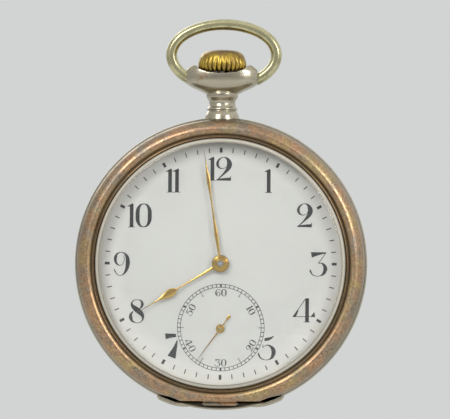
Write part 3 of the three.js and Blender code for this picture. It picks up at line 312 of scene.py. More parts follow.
def swept(path, section):
    """A section carried along a path in the dial's plane: section is (outwards, backwards)."""
    rings = []
    for i, (x, y, z) in enumerate(path):
        ahead, behind = path[min(i + 1, len(path) - 1)], path[max(i - 1, 0)]
        along = Vector((ahead[0] - behind[0], ahead[2] - behind[2])).normalized()
        side = Vector((-along.y, along.x))
        rings.append([(x + side.x * u, y + v, z + side.y * u) for u, v in section])
    return skin(rings, caps=True)


def shown(data, name="tool"):
    """A new object in the scene, of a mesh, a camera or a lamp."""
    thing = bpy.data.objects.new(name, data)
    bpy.context.scene.collection.objects.link(thing)
    return thing


def applied(thing, *others):
    """The mesh that an object's modifiers give; the object and its helpers are then removed."""
    bpy.context.view_layer.update()
    depsgraph = bpy.context.evaluated_depsgraph_get()
    result = bpy.data.meshes.new_from_object(thing.evaluated_get(depsgraph))
    for old in (thing, *others):
        bpy.data.objects.remove(old)
    return result


def worked(base, tools, operation="DIFFERENCE"):
    """The base mesh with tools cut out of it, or joined to it."""
    thing = shown(base)
    helpers = [shown(tool) for tool in tools]
    for helper in helpers:
        step = thing.modifiers.new("work", "BOOLEAN")
        step.operation = operation
        step.solver = "EXACT"
        step.object = helper
    return applied(thing, *helpers)


def cast(mesh, grain, passes):
    """The mesh as one skin with its edges worn round, as a casting polished for years has."""
    thing = shown(mesh)
    skin_step = thing.modifiers.new("skin", "REMESH")
    skin_step.mode = "VOXEL"
    skin_step.voxel_size = grain
    smooth_step = thing.modifiers.new("polish", "SMOOTH")
    smooth_step.factor = 0.5
    smooth_step.iterations = passes
    return applied(thing)


def softened(node, width):
    """A copy of a node's own shape, in millimetres, with its sharp edges bevelled."""
    bm = bmesh.new()
    bm.from_mesh(frame["nodes"][node].data)
    bmesh.ops.transform(bm, matrix=Matrix.Scale(1 / MM, 4) @ Matrix.Translation(-ORIGIN), verts=bm.verts)
    bmesh.ops.remove_doubles(bm, verts=bm.verts, dist=0.002)
    bmesh.ops.dissolve_limit(bm, angle_limit=math.radians(1), verts=bm.verts, edges=bm.edges)
    thing = shown(mesh_from(bm))
    step = thing.modifiers.new("edge", "BEVEL")
    step.width = width
    step.segments = 2
    step.limit_method = "ANGLE"
    step.angle_limit = math.radians(40)
    return applied(thing)


def piece(name, meshes, material, body, stands_for=(), sharp=35):
    """Joins meshes into one finished object, at its place in the frame, on its body."""
    bm = gathered(meshes if isinstance(meshes, list) else [meshes])
    for face in bm.faces:
        face.smooth = True
        face.material_index = 0
    mesh = mesh_from(bm, name)
    mesh.transform(Matrix.Translation(ORIGIN) @ Matrix.Scale(MM, 4))
    mesh.set_sharp_from_angle(angle=math.radians(sharp))
    mesh.materials.append(material)
    thing = shown(mesh, name)
    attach(thing, body)
    if stands_for:
        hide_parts(*stands_for)
    return thing


# ---- geometry nodes ----------------------------------------------------------------------------


def node_tree(name, sockets):
    tree = bpy.data.node_groups.new(name, "GeometryNodeTree")
    tree.interface.new_socket("Geometry", in_out="INPUT", socket_type="NodeSocketGeometry")
    tree.interface.new_socket("Geometry", in_out="OUTPUT", socket_type="NodeSocketGeometry")
    for label, kind in sockets:
        tree.interface.new_socket(label, in_out="INPUT", socket_type="NodeSocket" + kind)
    return tree, add(tree, "NodeGroupInput").outputs


def copies_out(tree, given, points, **placing):
    """The last nodes of both trees: copies on points, realized, with their material."""
    shape = add(tree, "GeometryNodeObjectInfo", {"Object": given["Shape"]})
    copies = add(tree, "GeometryNodeInstanceOnPoints", {
        "Points": points, "Instance": shape.outputs["Geometry"], **placing,
    })
    real = add(tree, "GeometryNodeRealizeInstances", {0: copies.outputs[0]})
    faced = add(tree, "GeometryNodeSetMaterial", {
        "Geometry": real.outputs[0], "Material": given["Material"],
    })
    add(tree, "NodeGroupOutput", {0: faced.outputs[0]})
    return tree


def ring_tree():
    """Copies of a shape round a circle in the dial's plane; every so many can be skipped."""
    tree, given = node_tree("Copies round a circle", [
        ("Shape", "Object"), ("Material", "Material"), ("Count", "Int"),
        ("Radius", "Float"), ("First Turn", "Float"), ("Skip Every", "Int"),
    ])
    index = add(tree, "GeometryNodeInputIndex").outputs[0]
    step = add(tree, "ShaderNodeMath", {0: FULL_TURN, 1: given["Count"]}, operation="DIVIDE").outputs[0]
    turn = add(tree, "ShaderNodeMath", {
        0: index, 1: step, 2: given["First Turn"],
    }, operation="MULTIPLY_ADD").outputs[0]
    across = add(tree, "ShaderNodeMath", {0: turn}, operation="SINE").outputs[0]
    up = add(tree, "ShaderNodeMath", {0: turn}, operation="COSINE").outputs[0]
    way = add(tree, "ShaderNodeCombineXYZ", {"X": across, "Z": up}).outputs[0]
    place = add(tree, "ShaderNodeVectorMath", {0: way, "Scale": given["Radius"]}, operation="SCALE")
    points = add(tree, "GeometryNodePoints", {"Count": given["Count"], "Position": place.outputs[0]})
    order = add(tree, "ShaderNodeMath", {0: index, 1: 1.0}, operation="ADD").outputs[0]
    skip = add(tree, "ShaderNodeMath", {0: order, 1: given["Skip Every"]}, operation="MODULO")
    keep = add(tree, "FunctionNodeCompare", {0: skip.outputs[0], 1: 0.5}, operation="GREATER_THAN")
    facing = add(tree, "ShaderNodeCombineXYZ", {"Y": turn}).outputs[0]
    return copies_out(tree, given, points.outputs[0], Selection=keep.outputs[0], Rotation=facing)


def places_tree():
    """Copies of a shape at a mesh's points, each turned about the dial's axis by chance."""
    tree, given = node_tree("Copies at places", [
        ("Shape", "Object"), ("Material", "Material"), ("Seed", "Int"),
    ])
    points = add(tree, "GeometryNodeMeshToPoints", {"Mesh": given["Geometry"]})
    chance = add(tree, "FunctionNodeRandomValue", {
        "Min": (0.0, 0.0, 0.0), "Max": (0.0, math.pi, 0.0), "Seed": given["Seed"],
    }, data_type="FLOAT_VECTOR")
    return copies_out(tree, given, points.outputs[0], Rotation=chance.outputs[0])


RING_TREE = ring_tree()
PLACES_TREE = places_tree()


def grown(tree, shape, material, places=(), **inputs):
    """The mesh that a tree gives, with its inputs set by their socket names."""
    mesh = bpy.data.meshes.new("places")
    mesh.from_pydata([tuple(p) for p in places], [], [])
    thing, model = shown(mesh), shown(shape)
    step = thing.modifiers.new("copies", "NODES")
    step.node_group = tree
    values = {"Shape": model, "Material": material, **inputs}
    for item in tree.interface.items_tree:
        if item.in_out == "INPUT" and item.name in values:
            step[item.identifier] = values[item.name]
    return applied(thing, model)


NO_SKIP = 100000  # more than there are copies


def around(shape, material, count, radius, first=0.0, skip=NO_SKIP):
    """Copies round a circle, without every skip-th one."""
    return grown(RING_TREE, shape, material, Count=count, Radius=radius,
                 **{"First Turn": first, "Skip Every": skip})


# ---- materials ---------------------------------------------------------------------------------


def finish(name):
    """A new material: its tree, its shader, and places in millimetres from the dial's centre."""
    material = bpy.data.materials.new(name)
    material.use_nodes = True
    tree = material.node_tree
    coords = add(tree, "ShaderNodeTexCoord").outputs["Object"]
    places = add(tree, "ShaderNodeMapping", {
        "Vector": coords, "Location": -ORIGIN / MM, "Scale": (1 / MM, 1 / MM, 1 / MM),
    }).outputs[0]
    return material, tree, tree.nodes["Principled BSDF"], places


def coated(tree, colour, *coats):
    """The colour with each coat, an amount and its tone, laid over it in turn."""
    for amount, tone in coats:
        mix = add(tree, "ShaderNodeMix", {0: amount, 6: colour, 7: rgb(tone)}, data_type="RGBA")
        colour = mix.outputs[2]
    return colour


def grained(name, light, dark, grain, rough, metallic=0.0, relief=None, lap=None):
    """A finish in two tones of one noise, which also sets its gloss.

    grain is the noise's scale per millimetre and its detail, rough the roughness of the light and
    of the dark tone, relief the noise's depth in millimetres and its strength, and lap a turn and
    stretch that draw the noise out into lines.
    """
    material, tree, shader, places = finish(name)
    if lap:
        places = add(tree, "ShaderNodeMapping", {
            "Vector": places, "Rotation": lap[0], "Scale": lap[1],
        }).outputs[0]
    noise = add(tree, "ShaderNodeTexNoise", {
        "Vector": places, "Scale": grain[0], "Detail": grain[1],
    }).outputs[0]
    gloss = add(tree, "ShaderNodeMapRange", {0: noise, 3: rough[0], 4: rough[1]}).outputs[0]
    colour = coated(tree, rgb(light), (noise, dark))
    feed(shader, {"Base Color": colour, "Roughness": gloss, "Metallic": metallic})
    if relief:
        bump = add(tree, "ShaderNodeBump", {
            "Height": noise, "Distance": relief[0] * MM, "Strength": relief[1],
        }).outputs[0]
        feed(shader, {"Normal": bump})
    return material, tree, shader, places, colour


def metal(name, bright, dull, cloud, share, rough, dent, scratch=0.0012, pit=0.0):
    """Polished metal with clouds of a second colour, shallow dents, fine scratches and pits.

    cloud is clouds per millimetre, share the noise levels between which the dull colour comes in,
    and dent, scratch and pit are depths in millimetres.
    """
    material, tree, shader, places = finish(name)
    clouds = add(tree, "ShaderNodeTexNoise", {
        "Vector": places, "Scale": cloud, "Detail": 7.0, "Roughness": 0.62,
    }).outputs[0]
    worn = add(tree, "ShaderNodeMapRange", {
        0: clouds, 1: share[0], 2: share[1],
    }, interpolation_type="SMOOTHSTEP").outputs[0]
    colour = coated(tree, rgb(bright), (worn, dull))
    specks = add(tree, "ShaderNodeTexNoise", {
        "Vector": places, "Scale": 4.5, "Detail": 4.0, "Roughness": 0.6,
    }).outputs[0]
    blend = add(tree, "ShaderNodeMath", {
        0: worn, 1: 0.45, 2: specks,
    }, operation="MULTIPLY_ADD").outputs[0]
    roughness = add(tree, "ShaderNodeMapRange", {
        0: blend, 1: 0.35, 2: 1.0, 3: rough[0], 4: rough[1],
    }).outputs[0]

    waves = add(tree, "ShaderNodeTexNoise", {"Vector": places, "Scale": 0.33, "Detail": 2.0}).outputs[0]
    strokes = add(tree, "ShaderNodeMapping", {
        "Vector": places, "Rotation": (0.3, 0.7, 0.2), "Scale": (0.5, 9.0, 14.0),
    }).outputs[0]
    lines = add(tree, "ShaderNodeTexNoise", {"Vector": strokes, "Scale": 1.0, "Detail": 3.0}).outputs[0]
    reliefs = [(waves, dent), (lines, scratch)]
    if pit:
        cells = add(tree, "ShaderNodeTexVoronoi", {"Vector": places, "Scale": 1.4, "Randomness": 1.0})
        hole = add(tree, "ShaderNodeMapRange", {
            0: cells.outputs["Distance"], 1: 0.06, 2: 0.17,
        }, interpolation_type="SMOOTHSTEP").outputs[0]
        reliefs.append((hole, pit))
        shade = add(tree, "ShaderNodeMapRange", {0: hole, 3: 0.45, 4: 1.0}).outputs[0]
        colour = add(tree, "ShaderNodeVectorMath", {
            0: colour, "Scale": shade,
        }, operation="SCALE").outputs[0]
    under = {}
    for height, depth in reliefs:
        bump = add(tree, "ShaderNodeBump", {
            "Height": height, "Distance": depth * MM, "Strength": 1.0, **under,
        }).outputs[0]
        under = {"Normal": bump}
    feed(shader, {"Base Color": colour, "Roughness": roughness, "Metallic": 1.0, **under})
    return material, tree, shader, places, colour, specks


def from_centre(tree, places):
    """Distance from the dial's axis, and depth, in millimetres."""
    flat = add(tree, "ShaderNodeVectorMath", {
        0: places, 1: (1.0, 0.0, 1.0),
    }, operation="MULTIPLY").outputs[0]
    radius = add(tree, "ShaderNodeVectorMath", {0: flat}, operation="LENGTH").outputs["Value"]
    return radius, add(tree, "ShaderNodeSeparateXYZ", {0: places}).outputs[1]


def near(tree, radius, centre, none, full, most):
    """An amount that grows from none to its most as a radius comes close to a centre."""
    off = add(tree, "ShaderNodeMath", {0: radius, 1: centre}, operation="SUBTRACT").outputs[0]
    off = add(tree, "ShaderNodeMath", {0: off}, operation="ABSOLUTE").outputs[0]
    return add(tree, "ShaderNodeMapRange", {0: off, 1: none, 2: full, 4: most}).outputs[0]


def rolled_gold():
    """Rose gold rolled on silver and carried for decades.

    The gold is worn to grey violet in clouds and to yellow in others, all of it speckled; the rim
    shows silver. The hollow beside the crystal is painted as shade: olive brown on its inner face
    and dark brown in the groove.
    """
    material, tree, shader, places, colour, specks = metal(
        "worn_rose_gold_on_silver", "#AB8A6C", "#8C8173", cloud=0.3, share=(0.4, 0.66),
        rough=(0.27, 0.46), dent=0.016, scratch=0.002, pit=0.02,
    )
    brass = add(tree, "ShaderNodeTexNoise", {
        "Vector": places, "Scale": 0.21, "Detail": 6.0, "Roughness": 0.66, "Distortion": 0.4,
    }).outputs[0]
    brass = add(tree, "ShaderNodeMapRange", {0: brass, 1: 0.5, 2: 0.64, 4: 0.7}).outputs[0]
    radius, depth = from_centre(tree, places)
    behind = add(tree, "ShaderNodeMapRange", {
        0: depth, 1: BAND_BACK, 2: BAND_BACK + 0.2, 4: 0.68,
    }).outputs[0]
    colour = coated(tree, colour, (brass, "#AD9C6E"), (behind, "#AC8B6D"))
    fine = add(tree, "ShaderNodeTexNoise", {
        "Vector": places, "Scale": 2.6, "Detail": 5.0, "Roughness": 0.7,
    }).outputs[0]
    fine = add(tree, "ShaderNodeMapRange", {0: fine, 1: 0.35, 2: 0.65, 3: 0.62, 4: 1.3}).outputs[0]
    colour = add(tree, "ShaderNodeVectorMath", {0: colour, "Scale": fine}, operation="SCALE").outputs[0]
    ragged = add(tree, "ShaderNodeMath", {
        0: specks, 1: 0.9, 2: radius,
    }, operation="MULTIPLY_ADD").outputs[0]
    rim = add(tree, "ShaderNodeMapRange", {0: ragged, 1: 24.5, 2: 25.0, 4: 0.75}).outputs[0]
    front = add(tree, "ShaderNodeMath", {0: depth, 1: BAND_FRONT}, operation="LESS_THAN").outputs[0]
    # Painted shade: olive brown on the bezel's inner face, where it turns away from the light.
    inner_slope_shade = add(tree, "ShaderNodeMapRange", {0: ragged, 1: 23.3, 2: 22.7, 4: 0.4}).outputs[0]
    inner_slope_shade = add(tree, "ShaderNodeMath", {0: inner_slope_shade, 1: front}, operation="MULTIPLY").outputs[0]
    # Painted shade: dark brown in the groove beside the crystal's step.
    dirt_and_shade = near(tree, radius, 21.86, 0.5, 0.15, 0.7)
    dirt_and_shade = add(tree, "ShaderNodeMath", {0: dirt_and_shade, 1: front}, operation="MULTIPLY").outputs[0]
    colour = coated(tree, colour, (rim, "#8F8876"), (inner_slope_shade, "#8F7850"), (dirt_and_shade, "#5E4F3E"))
    feed(shader, {"Base Color": colour})
    return material


def coin_silver():
    """Silver of the band and pendant: polished by handling, warm where old plating is left.

    The joint beside the bezel and the hollows beside the hinge are painted dark, as painted shade.
    """
    material, tree, shader, places, colour, _ = metal(
        "handled_silver", "#A9A290", "#9A7458", cloud=0.42, share=(0.59, 0.77),
        rough=(0.2, 0.34), dent=0.012, pit=0.012,
    )
    radius, depth = from_centre(tree, places)
    front = add(tree, "ShaderNodeMath", {
        0: depth, 1: BAND_FRONT + 0.3,
    }, operation="LESS_THAN").outputs[0]
    # Painted shade: dark in the crevice where the bezel meets the band.
    seam_shade = near(tree, radius, LID_R, 0.16, 0.04, 0.8)
    seam_shade = add(tree, "ShaderNodeMath", {0: seam_shade, 1: front}, operation="MULTIPLY").outputs[0]
    # Painted shade: dark in the hollows beside the hinge.
    hinge_hollow_shade = add(tree, "ShaderNodeMapRange", {0: radius, 1: LID_R + 0.02, 2: LID_R - 0.1}).outputs[0]
    height = add(tree, "ShaderNodeSeparateXYZ", {0: places}).outputs[2]
    low = add(tree, "ShaderNodeMapRange", {
        0: height, 1: -HINGE_DOWN + 2.2, 2: -HINGE_DOWN + 1.2,
    }).outputs[0]
    hinge_hollow_shade = add(tree, "ShaderNodeMath", {0: hinge_hollow_shade, 1: low}, operation="MULTIPLY").outputs[0]
    dirt_and_shade = add(tree, "ShaderNodeMath", {0: seam_shade, 1: hinge_hollow_shade}, operation="MAXIMUM").outputs[0]
    feed(shader, {"Base Color": coated(tree, colour, (dirt_and_shade, "#3B352B"))})
    return material


def nickel_silver():
    """Nickel silver of the bow: a greenish yellow white metal, drawn as wire and lightly polished."""
    return metal(
        "nickel_silver", "#BEB993", "#A09B7A", cloud=0.5, share=(0.4, 0.7),
        rough=(0.2, 0.32), dent=0.008, scratch=0.0016,
    )[0]


def crown_gold():
    """Rolled yellow gold of the crown: bright on the crests that fingers rub, its flutes painted dark
    brown as grime and painted shade, its top painted darker as a painted reflection.
    """
    material, tree, shader, places, colour, specks = metal(
        "rubbed_yellow_gold", "#AC9242", "#866F48", cloud=0.6, share=(0.45, 0.68),
        rough=(0.3, 0.46), dent=0.01,
    )
    across = add(tree, "ShaderNodeVectorMath", {
        0: places, 1: (0.0, STEM_Y, 0.0),
    }, operation="SUBTRACT").outputs[0]
    across = add(tree, "ShaderNodeVectorMath", {
        0: across, 1: (1.0, 1.0, 0.0),
    }, operation="MULTIPLY").outputs[0]
    radius = add(tree, "ShaderNodeVectorMath", {0: across}, operation="LENGTH").outputs["Value"]
    height = add(tree, "ShaderNodeSeparateXYZ", {0: places}).outputs[2]
    deep = add(tree, "ShaderNodeMapRange", {
        0: radius, 1: CROWN_R - 0.12, 2: CROWN_R - 0.42, 4: 0.9,
    }).outputs[0]
    low = add(tree, "ShaderNodeMapRange", {
        0: height, 1: CROWN_TOP - 1.2, 2: CROWN_TOP - 1.9,
    }).outputs[0]
    ragged = add(tree, "ShaderNodeMath", {
        0: specks, 1: 0.7, 2: height,
    }, operation="MULTIPLY_ADD").outputs[0]
    # Painted reflection: the top is painted darker brown, as a dim room would show in it.
    top = add(tree, "ShaderNodeMapRange", {
        0: ragged, 1: CROWN_TOP - 0.45, 2: CROWN_TOP + 0.05, 4: 0.8,
    }).outputs[0]
    # Grime and painted shade: dark brown deep in the flutes.
    dirt_and_shade = add(tree, "ShaderNodeMath", {0: deep, 1: low}, operation="MULTIPLY").outputs[0]
    colour = coated(tree, colour, (dirt_and_shade, "#3E2E10"), (top, "#6B5B40"))
    feed(shader, {"Base Color": colour})
    return material


def hand_gold():
    """Gilt brass of the hands, polished and lacquered, so it stays a clean warm yellow."""
    return metal(
        "polished_gilt_brass", "#C8A75F", "#AD8A4A", cloud=0.8, share=(0.45, 0.7),
        rough=(0.16, 0.26), dent=0.004, scratch=0.0006,
    )[0]


def enamel():
    """White vitreous enamel fired on copper: glassy, very slightly uneven, grey white.

    It is painted whiter towards the dial's edge: painted light that offsets the shade the bezel casts
    there.
    """
    material, tree, shader, places, colour = grained(
        "white_vitreous_enamel", "#C3C4C1", "#BFBFBC", (0.12, 3.0), (0.1, 0.2),
    )
    radius = from_centre(tree, places)[0]
    # Painted light: the enamel turns whiter towards the edge, against the bezel's shade.
    thick = add(tree, "ShaderNodeMapRange", {0: radius, 1: 16.5, 2: 20.4}).outputs[0]
    waves = add(tree, "ShaderNodeTexNoise", {"Vector": places, "Scale": 0.16, "Detail": 1.0}).outputs[0]
    bump = add(tree, "ShaderNodeBump", {
        "Height": waves, "Distance": 0.03 * MM, "Strength": 1.0,
    }).outputs[0]
    feed(shader, {"Base Color": coated(tree, colour, (thick, "#D5D5D0")), "Normal": bump})
    return material


def black_print():
    """Black enamel paint fired on the dial: dark grey with a soft gloss."""
    return grained("fired_black_print", "#0F1112", "#212526", (6.0, 4.0), (0.3, 0.5))[0]


def clear_glass():
    """Mineral crystal: clear, with faint hairlines from wear that only show at a glance of light."""
    material, tree, shader, places = finish("clear_mineral_crystal")
    shader.inputs["Base Color"].default_value = rgb("#FBFCFC")
    shader.inputs["Transmission Weight"].default_value = 1.0
    shader.inputs["IOR"].default_value = 1.5
    haze = add(tree, "ShaderNodeTexNoise", {"Vector": places, "Scale": 1.5, "Detail": 5.0}).outputs[0]
    soft = add(tree, "ShaderNodeMapRange", {0: haze, 1: 0.5, 2: 0.8, 3: 0.0, 4: 0.02}).outputs[0]
    feed(shader, {"Roughness": soft})
    passes = add(tree, "ShaderNodeLightPath").outputs["Is Shadow Ray"]
    clear = add(tree, "ShaderNodeBsdfTransparent").outputs[0]
    mixed = add(tree, "ShaderNodeMixShader", {0: passes, 1: shader.outputs[0], 2: clear}).outputs[0]
    feed(tree.nodes["Material Output"], {"Surface": mixed})
    return material


def ground_glass():
    """The crystal's bevel, ground and half polished: its white ring is a painted reflection of the pale
    room, and the dim rings on either side are painted shade.
    """
    material, tree, shader, places, colour = grained(
        "crystal_edge_painted_reflection", "#C6C2B6", "#A5A194", (2.5, 5.0), (0.25, 0.5),
    )
    radius = from_centre(tree, places)[0]
    # Painted shade: dim rings at the bevel's inner and outer edges.
    inner = add(tree, "ShaderNodeMapRange", {0: radius, 1: 20.95, 2: 20.8, 4: 0.9}).outputs[0]
    outer = add(tree, "ShaderNodeMapRange", {0: radius, 1: 21.16, 2: 21.34, 4: 0.95}).outputs[0]
    feed(shader, {"Base Color": coated(tree, colour, (inner, "#857F71"), (outer, "#5A5244"))})
    return material


def frosted_gilt():
    """Brass frosted by brushing with silver powder before gilding: a fine matt sparkle."""
    return grained("frosted_gilt_brass", "#E6C98A", "#C7A35F", (9.0, 3.0), (0.34, 0.5),
                   metallic=1.0, relief=(0.01, 0.7))[0]


def train_brass():
    """Brass of the wheels, grained flat and gilded: brighter and smoother than the plates."""
    return grained("grained_brass", "#E2BE76", "#C49A50", (14.0, 3.0), (0.2, 0.34),
                   metallic=1.0, relief=(0.01, 0.7))[0]


def ground_steel():
    """Hardened steel ground on a lap: grey, with fine straight grain."""
    return grained("ground_steel", "#C9CCD2", "#A3A6AD", (1.0, 4.0), (0.18, 0.36),
                   metallic=1.0, relief=(0.003, 1.0), lap=((0.0, 0.5, 0.0), (0.6, 3.0, 16.0)))[0]


def blued_steel():
    """Steel heated until it turns blue: deep cornflower, a little purple where it ran hotter."""
    return grained("heat_blued_steel", "#3A56B4", "#4A3C92", (1.2, 3.0), (0.12, 0.24), metallic=1.0)[0]


def ruby():
    """Garnet or ruby bearing stones: polished red glass to the eye."""
    return grained("ruby_bearing_stone", "#B4204A", "#7E0F33", (3.0, 2.0), (0.08, 0.08))[0]


def table_top():
    """A pale matt laminate under the watch, mottled so faintly that it looks plain."""
    return grained("pale_table_top", "#DADCDB", "#D6D8D7", (0.02, 4.0), (0.8, 0.8))[0]


ROSE_GOLD = rolled_gold()
SILVER = coin_silver()
NICKEL_SILVER = nickel_silver()
CROWN_GOLD = crown_gold()
HAND_GOLD = hand_gold()
ENAMEL = enamel()
PRINT = black_print()
GLASS = clear_glass()
CRYSTAL_EDGE_PAINTED = ground_glass()
FROSTED_GILT = frosted_gilt()
TRAIN_BRASS = train_brass()
STEEL = ground_steel()
BLUED_STEEL = blued_steel()
RUBY = ruby()
TABLE_TOP = table_top()

# ---- case ----------------------------------------------------------------------------------------


def ear(side, depth):
    """A lip that swells out of the band's edge beside the hinge and dies away under it."""
    front, back = depth
    rings = []
    steps = 40
    for i in range(steps + 1):
        x = EAR_END - i / steps * (EAR_END - EAR_TAIL)
        rise = min(1.0, (EAR_END - x) / 0.7) ** 0.5
        fall = min(1.0, (x - EAR_TAIL) / 3.6)
        outer = CASE_R - 0.1 + (EAR_R - CASE_R + 0.1) * rise * fall * (2 - fall)
        inner = CASE_R - 0.75
        edge = 0.25 * (outer - inner)
        section = [
            (inner, front), (outer - edge, front), (outer, front + edge), (outer, back - edge),
            (outer - edge, back), (inner, back),
        ]
        turn = math.asin(x / CASE_R)
        rings.append([(side * r * math.sin(turn), y, -r * math.cos(turn)) for r, y in section])
    return skin(rings, caps=True)


def ear_hollow(side, depth):
    """The crescent of room between an ear and the lid that a thumbnail reaches into."""
    outer, inner = [], []
    steps = 24
    for i in range(steps + 1):
        turn = side * math.asin((EAR_END - 0.25 - i / steps * (EAR_END - 6.2)) / CASE_R)
        deep = 0.6 * math.sin(math.pi * i / steps) ** 0.6
        for line, r in ((outer, CASE_R - 0.12), (inner, CASE_R - 0.13 - deep)):
            line.append((r * math.sin(turn), -r * math.cos(turn)))
    return prism(outer + inner[::-1], *depth)


def knuckles(y, ends):
    """A hinge's knuckles at a depth, one for each pair of ends."""
    return [cross_rod(y, -HINGE_DOWN, HINGE_R, pair, soft=0.04) for pair in ends]


def case_band():
    """The silver band with its outer bead, hinge knuckles and the ears beside them."""
    outline = rounded([
        (MOVEMENT_R + 0.2, BAND_BACK), (MOVEMENT_R + 0.2, -1.0), (MOVEMENT_R + 0.6, -1.0),
        (MOVEMENT_R + 0.6, BAND_FRONT), (CASE_R - 0.35, BAND_FRONT), (CASE_R, BAND_FRONT + 0.35),
        (CASE_R, BAND_FRONT + 1.0), (CASE_R - 0.12, 0.2), (CASE_R, BAND_BACK - 1.0),
        (CASE_R, BAND_BACK - 0.35), (CASE_R - 0.35, BAND_BACK),
    ], 0.14)
    ring = turned(outline)
    clear_of_lug = KNUCKLE_HALF + 0.12
    wells = []
    ears = []
    rolls = []
    for y, depth, inwards in (
        (BAND_FRONT, (BAND_FRONT - 0.05, BAND_FRONT + 1.3), 1.9),
        (BAND_BACK, (BAND_BACK - 1.3, BAND_BACK + 0.05), -1.9),
    ):
        room = turned([(20, y - 3), (WELL_R, y - 3), (WELL_R, y + 3), (20, y + 3)])
        slot = box((-HINGE_HALF, HINGE_HALF), sorted((y - inwards, y + inwards)),
                   (-CASE_R - 0.2, -HINGE_DOWN + 0.35))
        wells.append(worked(room, [slot], "INTERSECT"))
        hollows = [ear_hollow(side, sorted((y - inwards, y + 0.6 * inwards))) for side in (-1, 1)]
        wells += hollows
        ears += [worked(ear(side, depth), [hollows[(side + 1) // 2].copy()]) for side in (-1, 1)]
        end = HINGE_HALF + 0.2
        rolls += knuckles(y, [(-end, -clear_of_lug), (clear_of_lug, end)])
    stem_hole = turned([(0, 20), (1.0, 20), (1.0, 27), (0, 27)], 32, upright=True)
    body = worked(ring, [*wells, stem_hole])
    return piece("case_band", [body, *ears, *rolls], SILVER, "case", ["case_middle"])


def lid_lug(y, side):
    """The middle knuckle with the tongue that joins it to its lid."""
    wide = (-KNUCKLE_HALF, KNUCKLE_HALF)
    deep = sorted((y + side * (HINGE_R - 0.04), y + side * CLEAR))
    return [box(wide, deep, (-HINGE_DOWN + 0.24, -LID_CUT + 0.3)), *knuckles(y, [wide])]


def hinge_cuts(flat, hollow):
    """The tools that cut a lid back beside its hinge, and hollow it for a thumbnail."""
    cut = box((-LID_WIDE, LID_WIDE), flat, (-30, -LID_CUT))
    return [cut, *[ear_hollow(side, hollow) for side in (-1, 1)]]


def bezel():
    """The bezel: a broad rolled band, a groove, and the thin step that holds the crystal."""
    foot = BAND_FRONT - CLEAR
    crest = flowing([
        (24.6, -3.0), (24.5, -3.65), (24.15, -4.35), (23.6, -4.92), (23.05, -5.18), (22.65, -5.15),
        (22.3, -4.97), (22.05, -4.74), (21.88, -4.6), (21.76, -4.58),
    ], 6)
    outline = [
        (MOVEMENT_R + 0.6, foot), (LID_R - 0.1, foot), (LID_R, foot - 0.15), *crest,
        (21.68, -4.66), (21.58, -4.68), (21.5, -4.6), (21.47, -4.45), (21.45, -4.15), (20.75, -4.15),
        (20.75, -3.2), (MOVEMENT_R, -2.85),
    ]
    front = BEZEL_TOP - 1
    ring = worked(turned(outline), hinge_cuts((front, 0), (front, BAND_FRONT + 0.5)))
    return piece("bezel_band", [ring, *lid_lug(BAND_FRONT, -1)], ROSE_GOLD, "bezel", ["bezel"])


def crystal():
    """A thick flat crystal with a ground bevel, on which a white ring and two dim rings are painted."""
    back, edge = -4.2, MOVEMENT_R - 0.01
    top = back - 1.55
    bevel_in = 20.6
    outline = [
        (0, top), (12, top + 0.06), (bevel_in, top + 0.38), (20.66, top + 0.4), (21.2, top + 0.72),
        (21.34, top + 0.86), (edge, top + 1.0), (edge, back), (20.8, back), (20.7, back - 0.02),
        (12, back - 0.47), (0, back - 0.6),
    ]
    thing = piece("crystal_glass_disc", turned(outline, 160), GLASS, "bezel",
                  ["crystal"], sharp=15)
    thing.data.materials.append(CRYSTAL_EDGE_PAINTED)
    for face in thing.data.polygons:
        centre = (face.center - ORIGIN) / MM
        if math.hypot(centre.x, centre.z) > bevel_in + 0.04:
            face.material_index = 1
    return thing


def back_cover():
    """The plain back: a shallow dome turned up to a rim, with a lip to open it by."""
    foot = BAND_BACK + CLEAR
    dome = flowing([
        (6.0, BACK_TOP), (11, BACK_TOP - 0.07), (15, BACK_TOP - 0.2), (20, BACK_TOP - 0.6),
        (23, BACK_TOP - 1.25), (24.15, BACK_TOP - 2.0), (24.5, BACK_TOP - 2.7),
    ], 6)
    outline = [
        (0, BACK_TOP), *dome, (LID_R - 0.12, foot + 0.42), (LID_R, foot + 0.3), (LID_R, foot + 0.1),
        (LID_R - 0.1, foot), (LID_R - 1.15, foot), (LID_R - 1.2, foot + 0.9), (22.6, BACK_TOP - 1.6),
        (20, BACK_TOP - 1.1), (15, BACK_TOP - 0.7), (6, BACK_TOP - 0.5), (0, BACK_TOP - 0.5),
    ]
    whole = turned([(0, foot), (0, BACK_TOP), *dome, (LID_R - 0.12, foot)])
    strap = box((-LID_WIDE, LID_WIDE), (foot, BACK_TOP), (-LID_CUT, -LID_CUT + 0.6))
    wall = worked(whole, [strap], "INTERSECT")
    behind = BACK_TOP + 1
    dish = worked(turned(outline), hinge_cuts((0, behind), (BAND_BACK - 0.5, behind)))
    return piece("back_cover_dome", [dish, wall, *lid_lug(BAND_BACK, 1)], ROSE_GOLD,
                 "back_cover", ["back_cover"])


# ---- pendant, bow and crown ------------------------------------------------------------------


